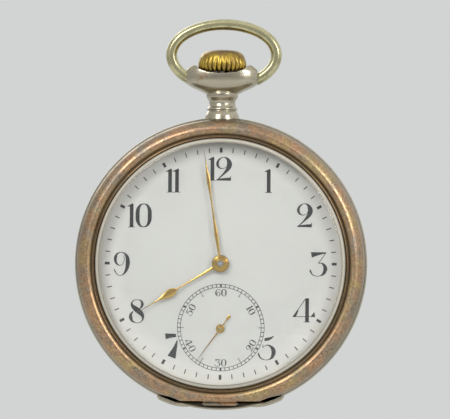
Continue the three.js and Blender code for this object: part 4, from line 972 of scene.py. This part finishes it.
def pendant():
    """The neck's beads, and the boat-shaped head that holds the bow and shields the crown."""
    neck = turned(rounded([
        (1.6, 24.2), (2.97, 24.2), (3.0, 24.75), (2.86, 25.5), (2.56, 26.08), (2.46, 26.2),
        (2.46, 26.3), (2.66, 26.4), (2.62, 26.62), (2.36, 27.0), (2.22, 27.5), (2.3, 27.95),
        (2.72, 28.6), (2.76, 29.2), (2.4, 29.9), (1.6, 29.9),
    ], 0.12), 96, upright=True)
    levels = flowing([  # height, half width, half depth
        (29.0, 2.55, 1.9), (29.6, 3.75, 2.55), (30.3, 5.3, 3.1), (31.1, 6.35, 3.4),
        (32.0, 6.6, 3.5), (33.0, 6.5, 3.45), (33.5, 6.1, 3.38), (34.3, 5.4, 3.3),
    ], 6)
    squareness = 2 / 2.35  # a level is an ellipse swollen a little towards its corners

    def swollen(share):
        return math.copysign(abs(share) ** squareness, share)

    head = skin([
        [(wide * swollen(c), STEM_Y + deep * swollen(s), z) for c, s in circle(1.0, 72)]
        for z, wide, deep in levels
    ], caps=True)
    scoop = flowing([(0, 32.62), (2.17, 32.8), (3.6, 33.28), (4.15, 33.72), (4.6, 34.0), (5.0, 33.98),
                     (5.6, 33.6), (6.3, 33.0)], 5)
    above = [(-x, z) for x, z in reversed(scoop)] + scoop[1:]
    above += [(8, 33.0), (8, 38), (-8, 38), (-8, 33.0)]
    under, beside = CROWN_LOW - 0.15, CROWN_R + 0.12
    tools = [
        prism(above, STEM_Y - 5, STEM_Y + 5),
        turned([(0, under), (beside, under), (beside, 40), (0, 40)], 96, upright=True),
    ]
    ends = box((-HEAD_HALF, HEAD_HALF), (STEM_Y - 6, STEM_Y + 6), (20, 40))
    head = worked(worked(head, tools), [ends], "INTERSECT")
    return piece("pendant_neck_and_head", [neck, cast(head, 0.075, 5)], SILVER, "case",
                 ["pendant"], sharp=50)


def bow():
    """Wire with faint drawn ridges, bent to an oval; its bosses sit on the pendant's cheeks."""
    turns = 160
    path = []
    for i in range(turns + 1):
        a = math.pi + BOW_END - i / turns * (math.pi + 2 * BOW_END)
        tall = BOW_TOP - BOW_SHOULDER if math.sin(a) > 0 else BOW_DROP
        path.append((BOW_LEAN + BOW_HALF * math.cos(a), STEM_Y, BOW_SHOULDER + tall * math.sin(a)))
    section = []
    for u, v in circle(1.0, 48):
        r = WIRE_R * (0.975 + 0.025 * math.cos(6 * math.atan2(v, u)))
        section.append((r * u, r * v))
    cheek = HEAD_HALF + CLEAR
    wire = worked(swept(path, section), [box((-cheek, cheek), (-5, 5), (29, 34.5))])
    bosses = []
    for side in (-1, 1):
        end = side * BOSS_END
        boss = cross_rod(STEM_Y, BOW_PIVOT, 0.82, sorted((side * cheek, end)), 40, soft=0.15)
        stub = cross_rod(STEM_Y, BOW_PIVOT, 0.68, sorted((side * (HEAD_HALF - 1), end)))
        bosses += [boss, stub]
    return piece("bow_wire", [wire, *bosses], NICKEL_SILVER, "bow", ["bow"])


def crown():
    """A bun-shaped crown: rounded flutes with sharp valleys that run out on its smooth top."""
    wall = flowing([
        (CROWN_R - 0.4, CROWN_LOW), (CROWN_R, CROWN_LOW + 0.6), (CROWN_R + 0.08, CROWN_LOW + 1.3),
        (CROWN_R - 0.1, CROWN_LOW + 2.1), (CROWN_R - 0.38, CROWN_LOW + 2.75),
        (CROWN_R - 0.9, CROWN_LOW + 3.3), (CROWN_R - 1.65, CROWN_TOP - 0.2),
        (CROWN_R - 2.6, CROWN_TOP - 0.08), (0.8, CROWN_TOP - 0.02),
    ], 7)
    per_flute = 12
    count = CROWN_FLUTES * per_flute
    rings = [[(0, STEM_Y, CROWN_LOW + 0.1)]]
    for r, z in wall:
        depth = 0.5 * min(1.0, max(0.0, (CROWN_LOW + 2.75 - z) / 2.5)) ** 1.2
        ring = []
        for i in range(count):
            a = FULL_TURN * i / count
            radius = r - depth * (1 - abs(math.sin(CROWN_FLUTES * a / 2)) ** 0.8)  # sharp in the valleys
            ring.append((radius * math.sin(a), STEM_Y - radius * math.cos(a), z))
        rings.append(ring)
    rings.append([(0, STEM_Y, CROWN_TOP)])
    return piece("crown_knob", skin(rings), CROWN_GOLD, "crown", ["crown"], sharp=80)


# ---- dial ------------------------------------------------------------------------------------

# Each numeral is drawn as strokes of a broad pen: (across, up, width) in shares of its height.
LEFT_OF_ZERO = [
    (0.34, 0.985, 0.028), (0.2, 0.93, 0.08), (0.1, 0.74, 0.15), (0.085, 0.5, 0.17),
    (0.1, 0.26, 0.15), (0.2, 0.07, 0.08), (0.34, 0.015, 0.028),
]
STROKES = {
    "0": [LEFT_OF_ZERO, [(0.68 - x, z, width) for x, z, width in LEFT_OF_ZERO]],
    "1": [
        [(0.165, 0.0, 0.155), (0.165, 0.93, 0.155)],
        [(-0.01, 0.875, 0.02), (0.1, 0.91, 0.07), (0.235, 0.965, 0.09)],
        [(0.02, 0.012, 0.026), (0.31, 0.012, 0.026)],
    ],
    "2": [
        [(0.44, 0.84, 0.02), (0.455, 0.68, 0.02), (0.38, 0.55, 0.024), (0.22, 0.505, 0.035),
         (0.09, 0.58, 0.085), (0.045, 0.72, 0.11), (0.12, 0.89, 0.07), (0.31, 0.985, 0.03),
         (0.48, 0.89, 0.12), (0.555, 0.71, 0.19), (0.5, 0.52, 0.17), (0.3, 0.28, 0.08),
         (0.05, 0.05, 0.03)],
        [(0.0, 0.03, 0.05), (0.2, 0.05, 0.09), (0.61, 0.065, 0.14)],
        [(0.6, 0.1, 0.03), (0.605, 0.2, 0.012)],
    ],
    "3": [
        [(0.07, 0.885, 0.23), (0.35, 0.93, 0.13), (0.68, 0.975, 0.05)],
        [(0.68, 0.965, 0.03), (0.36, 0.53, 0.03)],
        [(0.36, 0.53, 0.026), (0.5, 0.54, 0.05), (0.62, 0.43, 0.13), (0.655, 0.28, 0.165),
         (0.58, 0.1, 0.11), (0.44, 0.015, 0.035), (0.28, 0.0, 0.028), (0.12, 0.06, 0.045),
         (0.04, 0.19, 0.07), (0.03, 0.27, 0.05)],
    ],
    "4": [
        [(0.6, 0.0, 0.155), (0.6, 1.0, 0.155)],
        [(0.53, 0.985, 0.028), (0.2, 0.5, 0.03), (0.02, 0.245, 0.03)],
        [(0.0, 0.235, 0.028), (0.93, 0.235, 0.028)],
        [(0.03, 0.25, 0.03), (0.1, 0.285, 0.09), (0.15, 0.35, 0.075), (0.23, 0.5, 0.028)],
        [(0.85, 0.235, 0.19), (0.87, 0.3, 0.12), (0.9, 0.43, 0.01)],
        [(0.46, 0.012, 0.026), (0.74, 0.012, 0.026)],
    ],
    "5": [
        [(0.19, 0.85, 0.11), (0.38, 0.86, 0.13), (0.54, 0.91, 0.09), (0.66, 1.0, 0.012)],
        [(0.2, 0.86, 0.026), (0.2, 0.5, 0.026)],
        [(0.2, 0.52, 0.026), (0.32, 0.6, 0.03), (0.46, 0.6, 0.06), (0.61, 0.47, 0.15),
         (0.65, 0.3, 0.175), (0.58, 0.1, 0.11), (0.44, 0.01, 0.035), (0.28, 0.0, 0.028),
         (0.12, 0.07, 0.05), (0.03, 0.21, 0.07), (0.02, 0.29, 0.05)],
    ],
    "7": [
        [(0.02, 0.875, 0.25), (0.25, 0.9, 0.17), (0.58, 0.92, 0.13)],
        [(0.58, 0.92, 0.03), (0.52, 0.72, 0.05), (0.43, 0.4, 0.16), (0.28, 0.0, 0.36)],
    ],
    "8": [
        [(0.36, 0.985, 0.024), (0.2, 0.95, 0.035), (0.12, 0.84, 0.07), (0.15, 0.72, 0.14),
         (0.28, 0.6, 0.21), (0.42, 0.49, 0.22), (0.54, 0.37, 0.17), (0.59, 0.24, 0.1),
         (0.54, 0.09, 0.045), (0.42, 0.02, 0.03), (0.3, 0.012, 0.026)],
        [(0.36, 0.985, 0.024), (0.5, 0.94, 0.06), (0.56, 0.82, 0.11), (0.53, 0.69, 0.09),
         (0.44, 0.6, 0.03)],
        [(0.18, 0.5, 0.03), (0.09, 0.38, 0.1), (0.075, 0.24, 0.15), (0.14, 0.09, 0.09),
         (0.3, 0.012, 0.026)],
    ],
    "9": [
        [(0.32, 0.985, 0.024), (0.47, 0.92, 0.07), (0.57, 0.76, 0.15), (0.59, 0.54, 0.175),
         (0.55, 0.3, 0.14), (0.44, 0.1, 0.07), (0.3, 0.012, 0.026), (0.15, 0.06, 0.032),
         (0.05, 0.2, 0.045), (0.02, 0.29, 0.02)],
        [(0.32, 0.985, 0.024), (0.15, 0.92, 0.07), (0.07, 0.75, 0.13), (0.09, 0.57, 0.1),
         (0.18, 0.46, 0.05), (0.28, 0.435, 0.024), (0.38, 0.5, 0.02), (0.44, 0.65, 0.02),
         (0.43, 0.85, 0.02)],
    ],
}
WIDTHS = {
    "0": 0.68, "1": 0.3, "2": 0.65, "3": 0.72, "4": 0.94, "5": 0.72, "7": 0.62, "8": 0.64, "9": 0.67,
}
BACK_FACE = DIAL_FRONT + PRINT_SINK
FRONT_FACE = DIAL_FRONT - PRINT_RISE


def stroke_ribbon(points, place, hairline):
    """One pen stroke as a thin raised ribbon, nowhere finer than a hairline.

    place turns a numeral's own coordinates into the dial's.
    """
    line = flowing(points, 10)
    rings = []
    for i, (x, z, width) in enumerate(line):
        ahead, behind = line[min(i + 1, len(line) - 1)], line[max(i - 1, 0)]
        along = Vector((ahead[0] - behind[0], ahead[1] - behind[1])).normalized()
        half = max(width, hairline) / 2
        left = place(x - along.y * half, z + along.x * half)
        right = place(x + along.y * half, z - along.x * half)
        rings.append([
            (left[0], BACK_FACE, left[1]), (left[0], FRONT_FACE, left[1]),
            (right[0], FRONT_FACE, right[1]), (right[0], BACK_FACE, right[1]),
        ])
    return skin(rings, caps=True)


def number(text, centre, tall, turn=0.0, hairline=0.024, apart=0.06, wider=1.0):
    """A printed number about its centre, turned clockwise by an angle."""
    width = sum(WIDTHS.get(c, WIDTHS["9"]) for c in text) + apart * (len(text) - 1)
    c, s = math.cos(turn), math.sin(turn)
    shapes = []
    x0 = -width / 2
    for digit in text:
        flip = digit == "6"
        wide = WIDTHS["9" if flip else digit]

        def place(x, z, x0=x0, flip=flip, wide=wide):
            if flip:
                x, z = wide - x, 1 - z
            u, v = (x + x0) * tall * wider, (z - 0.5) * tall
            return centre[0] + u * c + v * s, centre[1] - u * s + v * c

        shapes += [stroke_ribbon(stroke, place, hairline) for stroke in STROKES["9" if flip else digit]]
        x0 += wide + apart
    return shapes


SECONDS_AT = pivot("seconds_turn")
RAILWAY_AT = SECONDS_AT + Vector((0.08, 0, 0.17))  # the print sits a little off the hand's axis
MINUTE_STEP = FULL_TURN / 60


def without_seconds(shapes):
    """The shapes with what lies under the seconds dial cut away."""
    clear = SECONDS_RING[1] + 0.33
    room = put(turned([(0, -4), (clear, -4), (clear, 0), (0, 0)], 120), RAILWAY_AT)
    return [worked(shape, [room.copy()]) for shape in shapes]


def dial_disc():
    """The enamel disc, bevelled at its edge, with its two holes."""
    back, edge = DIAL_FRONT + 0.75, MOVEMENT_R - 0.05
    outline = rounded([
        (0, DIAL_FRONT), (edge - 0.3, DIAL_FRONT), (edge, DIAL_FRONT + 0.25), (edge, back), (0, back),
    ], 0.05)
    outline[:4] = [(0, DIAL_FRONT)]
    outline[-4:] = [(0, back)]
    holes = [
        turned([(0, -5), (1.25, -5), (1.25, 0), (0, 0)], 48),
        put(turned([(0, -5), (0.45, -5), (0.45, 0), (0, 0)], 32), RAILWAY_AT),
    ]
    return piece("dial_enamel", worked(turned(outline), holes), ENAMEL, "case", ["dial"])


def printed(name, shapes):
    """A piece of print on the dial."""
    return piece(name, shapes, PRINT, "case", sharp=30)


def flat_ring(radius, width):
    """A printed line round the middle of a dial."""
    inner, outer = radius - width / 2, radius + width / 2
    return turned([
        (inner, BACK_FACE), (inner, FRONT_FACE), (outer, FRONT_FACE), (outer, BACK_FACE),
    ], 180)


def tick(width, tall):
    """A printed bar that stands upright."""
    return box((-width / 2, width / 2), (FRONT_FACE, BACK_FACE), (-tall / 2, tall / 2))


def minute_track():
    """Sixty minute marks; every fifth is a broad one."""
    low, high = MINUTE_TRACK
    middle_r, tall = (low + high) / 2, high - low
    minutes = around(tick(0.17, tall), PRINT, 60, middle_r, MINUTE_STEP, 5)
    hours = around(tick(0.46, tall), PRINT, 12, middle_r, 5 * MINUTE_STEP)
    return printed("minute_track_print", [minutes, hours])


def seconds_track():
    """The railway round the small seconds: two lines, sixty sleepers, heavier ones each ten."""
    inner, outer = SECONDS_RING
    middle_r, tall = (inner + outer) / 2, outer - inner
    shapes = [flat_ring(r, 0.095) for r in SECONDS_RING]
    shapes.append(around(tick(0.13, tall), PRINT, 60, middle_r, MINUTE_STEP, 10))
    shapes.append(around(tick(0.3, tall), PRINT, 6, middle_r))
    for second in (5, 25, 35, 55, 15, 45):
        turn = second * MINUTE_STEP
        capped = second not in (15, 45)
        reach = 0.75 if capped else 0.62
        shapes.append(around(tick(0.09, reach), PRINT, 1, inner - reach / 2, turn))
        if capped:
            shapes.append(around(tick(0.34, 0.08), PRINT, 1, inner - reach, turn))
    shapes = [put(shape, RAILWAY_AT) for shape in shapes]
    for second in (60, 10, 20, 30, 40, 50):
        turn = second * MINUTE_STEP
        r, flip = (6.02, math.pi) if second in (20, 30, 40) else (5.98, 0.0)
        at = (RAILWAY_AT.x + r * math.sin(turn), RAILWAY_AT.z + r * math.cos(turn))
        shapes += number(str(second), at, 1.2, turn + flip, hairline=0.07, apart=0.09, wider=1.12)
    return printed("seconds_track_print", shapes)


# Where the middle of each hour's number stands; five and seven run under the small seconds.
HOURS = {
    "12": (-0.15, 16.25), "1": (8.1, 14.2), "2": (14.4, 8.35), "3": (16.7, 0.0), "4": (14.3, -7.9),
    "8": (-14.35, -8.2), "9": (-16.95, -0.1), "10": (-13.9, 8.2), "11": (-8.2, 14.2),
}
CUT_HOURS = {"5": (7.95, -14.35), "7": (-8.2, -14.0)}


def hour_numerals():
    """The hours' numbers, cut off where the small seconds dial stands on them."""
    shapes = []
    for text, centre in HOURS.items():
        shapes += number(text, centre, NUMERAL_TALL, apart=-0.01 if text == "11" else 0.03)
    for text, centre in CUT_HOURS.items():
        shapes += without_seconds(number(text, centre, NUMERAL_TALL))
    return printed("hour_numerals_print", shapes)


# ---- hands -----------------------------------------------------------------------------------


def blade(outline, front, thick, at, turn):
    """A hand pointing to its angle: (distance, half width) points, crowned across its width."""
    line = flowing(outline, 10)
    c, s = math.cos(turn), math.sin(turn)
    rings = []
    for reach, half in line:
        half = max(half, 0.025)
        section = [(-half, thick), (-half, thick * 0.5), (-half * 0.6, thick * 0.14), (0, 0),
                   (half * 0.6, thick * 0.14), (half, thick * 0.5), (half, thick)]
        rings.append([
            (at.x + x * c + reach * s, front + y, at.z - x * s + reach * c) for x, y in section
        ])
    return skin(rings, caps=True)


def pointing(node, hub):
    """The angle that a CAD hand points to, found from the far end of its shape."""
    far = max(((Vector(v.co) - ORIGIN) / MM for v in frame["nodes"][node].data.vertices),
              key=lambda p: math.hypot(p.x - hub.x, p.z - hub.z))
    return math.atan2(far.x - hub.x, far.z - hub.z)


# Each hand: its blade as (distance, half width), its hub's outline as (radius, depth behind the
# blade's crown) between two walls that go down to the hand's back, and how far that is rounded.
HANDS = {
    "minute": (
        [(0, 0.2), (1.3, 0.17), (3.0, 0.24), (4.8, 0.3), (7.0, 0.21), (9.3, 0.13), (12.0, 0.17),
         (14.2, 0.31), (15.4, 0.24), (17.2, 0.1), (19.7, 0.02)],
        [(0.5, -0.06), (0.78, -0.1), (0.85, -0.02), (1.15, -0.02), (1.3, 0.05)], 0.05,
    ),
    "hour": (
        [(0, 0.26), (1.4, 0.25), (5.0, 0.17), (8.4, 0.12), (8.9, 0.36), (9.5, 0.66), (10.1, 0.7),
         (10.9, 0.5), (12.0, 0.2), (13.2, 0.1), (16.5, 0.02)],
        [(1.05, -0.02), (1.4, -0.02), (1.47, 0.05)], 0.03,
    ),
    "seconds": (
        [(-2.84, 0.06), (-2.62, 0.25), (-2.25, 0.26), (-1.7, 0.09), (-0.6, 0.1), (0, 0.14),
         (0.8, 0.1), (3.0, 0.075), (7.0, 0.02)],
        [(0.16, -0.08), (0.3, -0.08), (0.36, -0.02), (0.68, -0.02), (0.75, 0.04)], 0.03,
    ),
}


def hands():
    """The three hands, pointing where the CAD's hands point."""
    for body, (outline, hub, soft) in HANDS.items():
        node = body + "_hand"
        at = pivot(body + "_turn")
        front, back = span(node, 1)
        arm = blade(outline, front, back - front, at, pointing(node, at))
        walls = [(hub[0][0], back), *[(r, front + y) for r, y in hub], (hub[-1][0], back)]
        boss = put(turned(rounded(walls, soft), 64), at)
        piece(node + "_gilt", [arm, boss], HAND_GOLD, body, [node], sharp=50)


# ---- movement ----------------------------------------------------------------------------------

NODE_FINISHES = {
    "rose_gold": ROSE_GOLD, "silver": SILVER, "nickel_silver": NICKEL_SILVER, "yellow_gold": HAND_GOLD,
    "crystal_glass": GLASS, "white_enamel": ENAMEL, "gilt_brass": FROSTED_GILT,
    "train_brass": TRAIN_BRASS, "steel": STEEL, "blued_steel": BLUED_STEEL,
}
SLOT_OF = {part["node"]: part["material_slot"] for part in frame["record"]["subparts"]}
CHAMFERED = {
    0.09: ["main_plate", "barrel_bridge", "pallet_cock"],
    0.04: ["barrel", "barrel_cover", "click", "click_spring", "regulator", "setting_lever", "yoke"],
}
JEWELLED = ["centre_arbor", "third_arbor", "fourth_arbor", "escape_arbor"]
BRIDGE_SCREWS = [
    "barrel_bridge_screw_left", "barrel_bridge_screw_right", "train_bridge_screw",
    "balance_cock_screw", "case_screw_left", "case_screw_right",
]


def part_piece(name, meshes, nodes):
    """A piece that rides with, and is finished like, the first of the nodes it stands for."""
    slot = SLOT_OF[nodes[0]]
    body = body_of(frame["nodes"][nodes[0]])[0]
    return piece(name, meshes, NODE_FINISHES[slot], body, nodes, sharp=30)


def chamfered_parts():
    """Plates and levers in their own shapes, with edges chamfered as a finisher leaves them."""
    for width, nodes in CHAMFERED.items():
        for node in nodes:
            part_piece(node + "_chamfered", softened(node, width), [node])


def back_of(node):
    """The middle of a node's rearmost face."""
    place = middle(node)
    return Vector((place.x, span(node, 1)[1], place.z))


def slotted_head(radius, tall, slot_half, shank=()):
    """A bevelled screw head that faces back, with its slot, its top at zero depth."""
    outline = [(0, 0), (radius - 0.14, 0), (radius - 0.04, -0.04), (radius, -0.14), (radius, -tall)]
    outline += [*shank, (0, shank[-1][1] if shank else -tall)]
    cut = box((-radius - 1, radius + 1), (-0.2, 1), (-slot_half, slot_half))
    return worked(turned(outline, 40), [cut])


def screws():
    """The screws of the plates, each turned by chance, and those of the winding wheels."""
    small = slotted_head(1.0, 0.34, 0.13, [(0.5, -0.34), (0.5, -1.75)])
    places = [back_of(node) for node in BRIDGE_SCREWS]
    part_piece("plate_screws", grown(PLACES_TREE, small, BLUED_STEEL, places, Seed=7), BRIDGE_SCREWS)
    ratchet_top = back_of("ratchet_screw")
    part_piece("ratchet_screw_head", put(slotted_head(1.3, 0.25, 0.14), ratchet_top, ratchet_top.y),
               ["ratchet_screw"])
    wheel_top = back_of("crown_wheel_screw")
    head = slotted_head(1.6, 0.25, 0.14, [(0.46, -0.25), (0.46, -1.1)])
    part_piece("crown_wheel_screw_head", put(head, wheel_top, wheel_top.y), ["crown_wheel_screw"])


def sink(at, face):
    """The tool that sinks a bearing stone's setting into a bridge."""
    return put(turned([(0, -0.14), (0.86, -0.14), (0.9, 0.5), (0, 0.5)], 40), at, face)


def set_stones(name, node, arbors):
    """A chamfered bridge with its bearing stones, each in a turned gilt setting."""
    face = span(node, 1)[1]
    places = [middle(arbor) for arbor in arbors]
    bridge = worked(softened(node, 0.09), [sink(at, face) for at in places])
    ring = [(0.52, -0.2), (0.86, -0.2), (0.86, -0.05), (0.8, 0.0), (0.66, -0.01), (0.56, -0.09)]
    settings = [put(turned(ring, 40), at, face) for at in places]
    part_piece(name, [bridge, *settings], [node])
    stone = [(0, -0.14), (0.1, -0.12), (0.3, -0.06), (0.48, -0.06), (0.58, -0.12), (0.58, -0.2), (0, -0.2)]
    stones = [put(turned(stone, 32), at, face) for at in places]
    piece(name + "_stones", stones, RUBY, "case")


def toothed_wheel(at, y, count, tip, deep, bore):
    """A thin steel wheel: a raised bevelled rim and hub, a lower middle, and pointed teeth."""
    low, high = y
    root = tip - deep
    disc = turned([
        (bore, low), (root, low), (root, high - 0.04), (root - 0.05, high), (root - 0.55, high),
        (root - 0.62, high - 0.07), (bore + 0.9, high - 0.07), (bore + 0.83, high), (bore, high),
    ], 120)
    half = math.pi * root / count
    tooth = prism([
        (-half, -0.08), (-0.35 * half, 0.8 * deep), (0.0, deep), (0.35 * half, 0.8 * deep), (half, -0.08),
    ], low + 0.02, high - 0.02)
    return put(facing_out(gathered([disc, around(tooth, STEEL, count, root)])), at)


def winding_wheels():
    """The ratchet on the barrel's square, and the crown wheel with a plain skirt under it."""
    at = middle("ratchet_wheel")
    wheel = toothed_wheel(at, span("ratchet_wheel", 1), 56, 6.25, 0.4, 0.85)
    part_piece("ratchet_wheel_snailed", wheel, ["ratchet_wheel"])
    at = middle("crown_wheel")
    low, high = span("crown_wheel", 1)
    wheel = toothed_wheel(at, (high - 0.3, high), 40, 4.4, 0.42, 0.9)
    skirt = put(turned([(3.2, low), (4.05, low), (4.05, high - 0.2), (3.2, high - 0.2)], 96), at)
    part_piece("crown_wheel_snailed", [wheel, skirt], ["crown_wheel"])


def balance():
    """The balance: a rounded brass rim, one bar across, and its timing screws."""
    at = middle("balance_staff")
    low, high = span("balance_wheel", 1)
    level = (low + high) / 2
    rim, hub = [
        turned(rounded([(inner, low), (outer, low), (outer, high), (inner, high)], soft), steps)
        for inner, outer, soft, steps in ((5.85, 6.5, 0.12, 160), (0.53, 1.1, 0.08, 48))
    ]
    bars = [prism([(-0.42, z0), (0.42, z0), (0.36, z1), (-0.36, z1)], low + 0.12, high - 0.12)
            for z0, z1 in ((0.9, 5.95), (-0.9, -5.95))]
    stud = skin([[(x, level + y, z) for x, y in circle(r, 16)]
                 for r, z in ((0.12, -0.2), (0.22, -0.02), (0.22, 0.22), (0.14, 0.28))], caps=True)
    studs = around(stud, TRAIN_BRASS, 14, 6.5, 0.22)
    wheel = facing_out(gathered([rim, hub, *bars, studs]))
    part_piece("balance_rim_and_screws", put(wheel, at), ["balance_wheel"])
    low, high = span("hairspring", 1)
    turns, steps = 6, 72
    coil = []
    for i in range(turns * steps + 1):
        a = FULL_TURN * i / steps
        r = 0.5 + 2.88 * i / (turns * steps)
        coil.append((r * math.cos(a), low, r * math.sin(a)))
    section = [(-0.03, 0.02), (0.03, 0.02), (0.03, high - low), (-0.03, high - low)]
    part_piece("hairspring_coil", put(swept(coil, section), at), ["hairspring"])


def inner_cover():
    """The inner cover that keeps dust from the movement: a thin bright dome on its own hinge."""
    foot = BAND_BACK + CLEAR
    crest, edge = 4.75, 22.45
    cut = -INNER_HINGE_DOWN + INNER_ROLL_R + 0.08  # the lid ends just above its hinge
    outer = flowing([(4, crest), (12, 4.7), (19.5, 4.45), (21.4, 4.12), (22.2, 3.7), (edge, 3.35)], 6)
    inner = [(22.0, foot), (22.0, 3.2), (21.4, 3.72), (19.5, 4.1), (12, 4.35), (0, 4.4)]
    solid = [(0, crest), *outer, (edge, foot)]
    wide, lug_wide = (-5.1, 5.1), (-1.9, 1.9)
    lid = worked(turned([*solid, *inner]), [box(wide, (0, 6), (-30, cut))])
    strap = box(wide, (foot, 4.05), (cut, cut + 0.4))
    wall = worked(turned([*solid, (0, foot)]), [strap], "INTERSECT")
    lug = box(lug_wide, (foot, BAND_BACK + 0.24), (-INNER_HINGE_DOWN + 0.1, cut + 0.2))
    roll = cross_rod(BAND_BACK, -INNER_HINGE_DOWN, INNER_ROLL_R, lug_wide, soft=0.03)
    part_piece("inner_cover_dome", [lid, wall, lug, roll], ["inner_cover"])


# ---- camera, floor and lights ------------------------------------------------------------------
VIEW_WIDE = 76.8  # how much the picture holds across, at the dial
CAMERA_FAR = 700.0
SENSOR_WIDE = 36.0
CAMERA_RIGHT = math.radians(2.2)  # the camera stands a little to the right of the dial
CAMERA_BELOW = math.radians(1.2)  # and a little under it
AIM = Vector((0.72, -3.5, 9.245))  # what it looks at
CAMERA_ROLL = math.radians(0.3)
LIGHTS_AIM = (0, 0, 5)
FLOOR_DOWN = 0.05  # metres from the watch down to the table


def look_from(place, target):
    """The turn of a camera or a lamp that looks from a place at a target."""
    return (Vector(target) - Vector(place)).to_track_quat("-Z", "Y").to_euler()


def in_frame(point):
    """A place in the frame, from millimetres about the dial's centre."""
    return ORIGIN + Vector(point) * MM


def camera():
    """A long lens far off, a little to the right of the dial and under it."""
    lens = bpy.data.cameras.new("camera")
    lens.sensor_width = SENSOR_WIDE
    lens.lens = SENSOR_WIDE * CAMERA_FAR / VIEW_WIDE
    lens.clip_start = 0.01
    eye = shown(lens, "camera")
    away = Vector((
        math.sin(CAMERA_RIGHT) * math.cos(CAMERA_BELOW),
        -math.cos(CAMERA_RIGHT) * math.cos(CAMERA_BELOW), -math.sin(CAMERA_BELOW),
    ))
    eye.location = in_frame(AIM + away * CAMERA_FAR)
    eye.rotation_euler = look_from(eye.location, in_frame(AIM))
    eye.rotation_euler.rotate_axis("Z", CAMERA_ROLL)
    bpy.context.scene.camera = eye


def floor():
    """A plain pale table top under the hanging watch."""
    low = cad_box[0][2]
    bm = bmesh.new()
    bmesh.ops.create_circle(bm, cap_ends=True, radius=1.2, segments=96)
    bmesh.ops.translate(bm, verts=bm.verts, vec=(0, 0, low - FLOOR_DOWN))
    table = shown(mesh_from(bm, "floor"), "floor")
    table.data.materials.append(TABLE_TOP)


def soft_light(name, place, size, power):
    """A rectangular lamp that lights the watch from a place and is not itself seen."""
    lamp = bpy.data.lights.new(name, "AREA")
    lamp.shape = "RECTANGLE"
    lamp.size, lamp.size_y = size[0] * MM, size[1] * MM
    lamp.energy = power
    lamp.color = (1.0, 0.99, 0.97)
    thing = shown(lamp, name)
    thing.location = in_frame(place)
    thing.rotation_euler = look_from(thing.location, in_frame(LIGHTS_AIM))
    thing.visible_camera = False


def surroundings():
    """A pale room: even grey to the eye; to the metal brighter above and to the right, dim in front."""
    world = bpy.data.worlds.new("pale_room")
    world.use_nodes = True
    bpy.context.scene.world = world
    tree = world.node_tree
    sky = tree.nodes["Background"]
    way = add(tree, "ShaderNodeTexCoord").outputs["Generated"]
    parts = add(tree, "ShaderNodeSeparateXYZ", {0: way}).outputs
    height = add(tree, "ShaderNodeMapRange", {0: parts[2], 1: -0.6, 2: 0.8, 3: 0.6, 4: 0.9}).outputs[0]
    ahead = add(tree, "ShaderNodeMapRange", {
        0: parts[1], 1: -1.0, 2: -0.7, 3: 0.6, 4: 1.0,
    }, interpolation_type="SMOOTHSTEP").outputs[0]
    lit = add(tree, "ShaderNodeMath", {0: height, 1: ahead}, operation="MULTIPLY").outputs[0]
    side = add(tree, "ShaderNodeMapRange", {0: parts[0], 1: -0.8, 2: 0.8, 3: 0.84, 4: 1.22}).outputs[0]
    lit = add(tree, "ShaderNodeMath", {0: lit, 1: side}, operation="MULTIPLY").outputs[0]
    seen = add(tree, "ShaderNodeLightPath").outputs["Is Camera Ray"]
    strength = add(tree, "ShaderNodeMix", {0: seen, 2: lit, 3: 1.0}, data_type="FLOAT").outputs[0]
    warm_white = (1.0, 0.995, 0.985, 1.0)
    feed(sky, {"Color": coated(tree, warm_white, (seen, "#D2D4D3")), "Strength": strength})


def studio():
    """The room and four soft lamps, with colours shown as they are."""
    surroundings()
    soft_light("key_light", (-225, -420, 300), (200, 230), 1.12)
    soft_light("right_light", (330, -380, 190), (150, 190), 0.8)
    soft_light("low_right_light", (240, -330, -200), (130, 130), 0.42)
    soft_light("back_light", (-200, 420, 260), (300, 300), 0.5)
    view = bpy.context.scene.view_settings
    view.view_transform = "Standard"
    view.look = "None"


camera()
floor()
studio()
case_band()
bezel()
crystal()
back_cover()
pendant()
bow()
crown()
dial_disc()
minute_track()
seconds_track()
hour_numerals()
hands()
chamfered_parts()
screws()
set_stones("train_bridge_set", "train_bridge", JEWELLED)
set_stones("balance_cock_set", "balance_cock", ["balance_staff"])
winding_wheels()
balance()
inner_cover()

for node_name, node_object in frame["nodes"].items():
    for material_slot in node_object.material_slots:
        material_slot.material = NODE_FINISHES[SLOT_OF[node_name]]
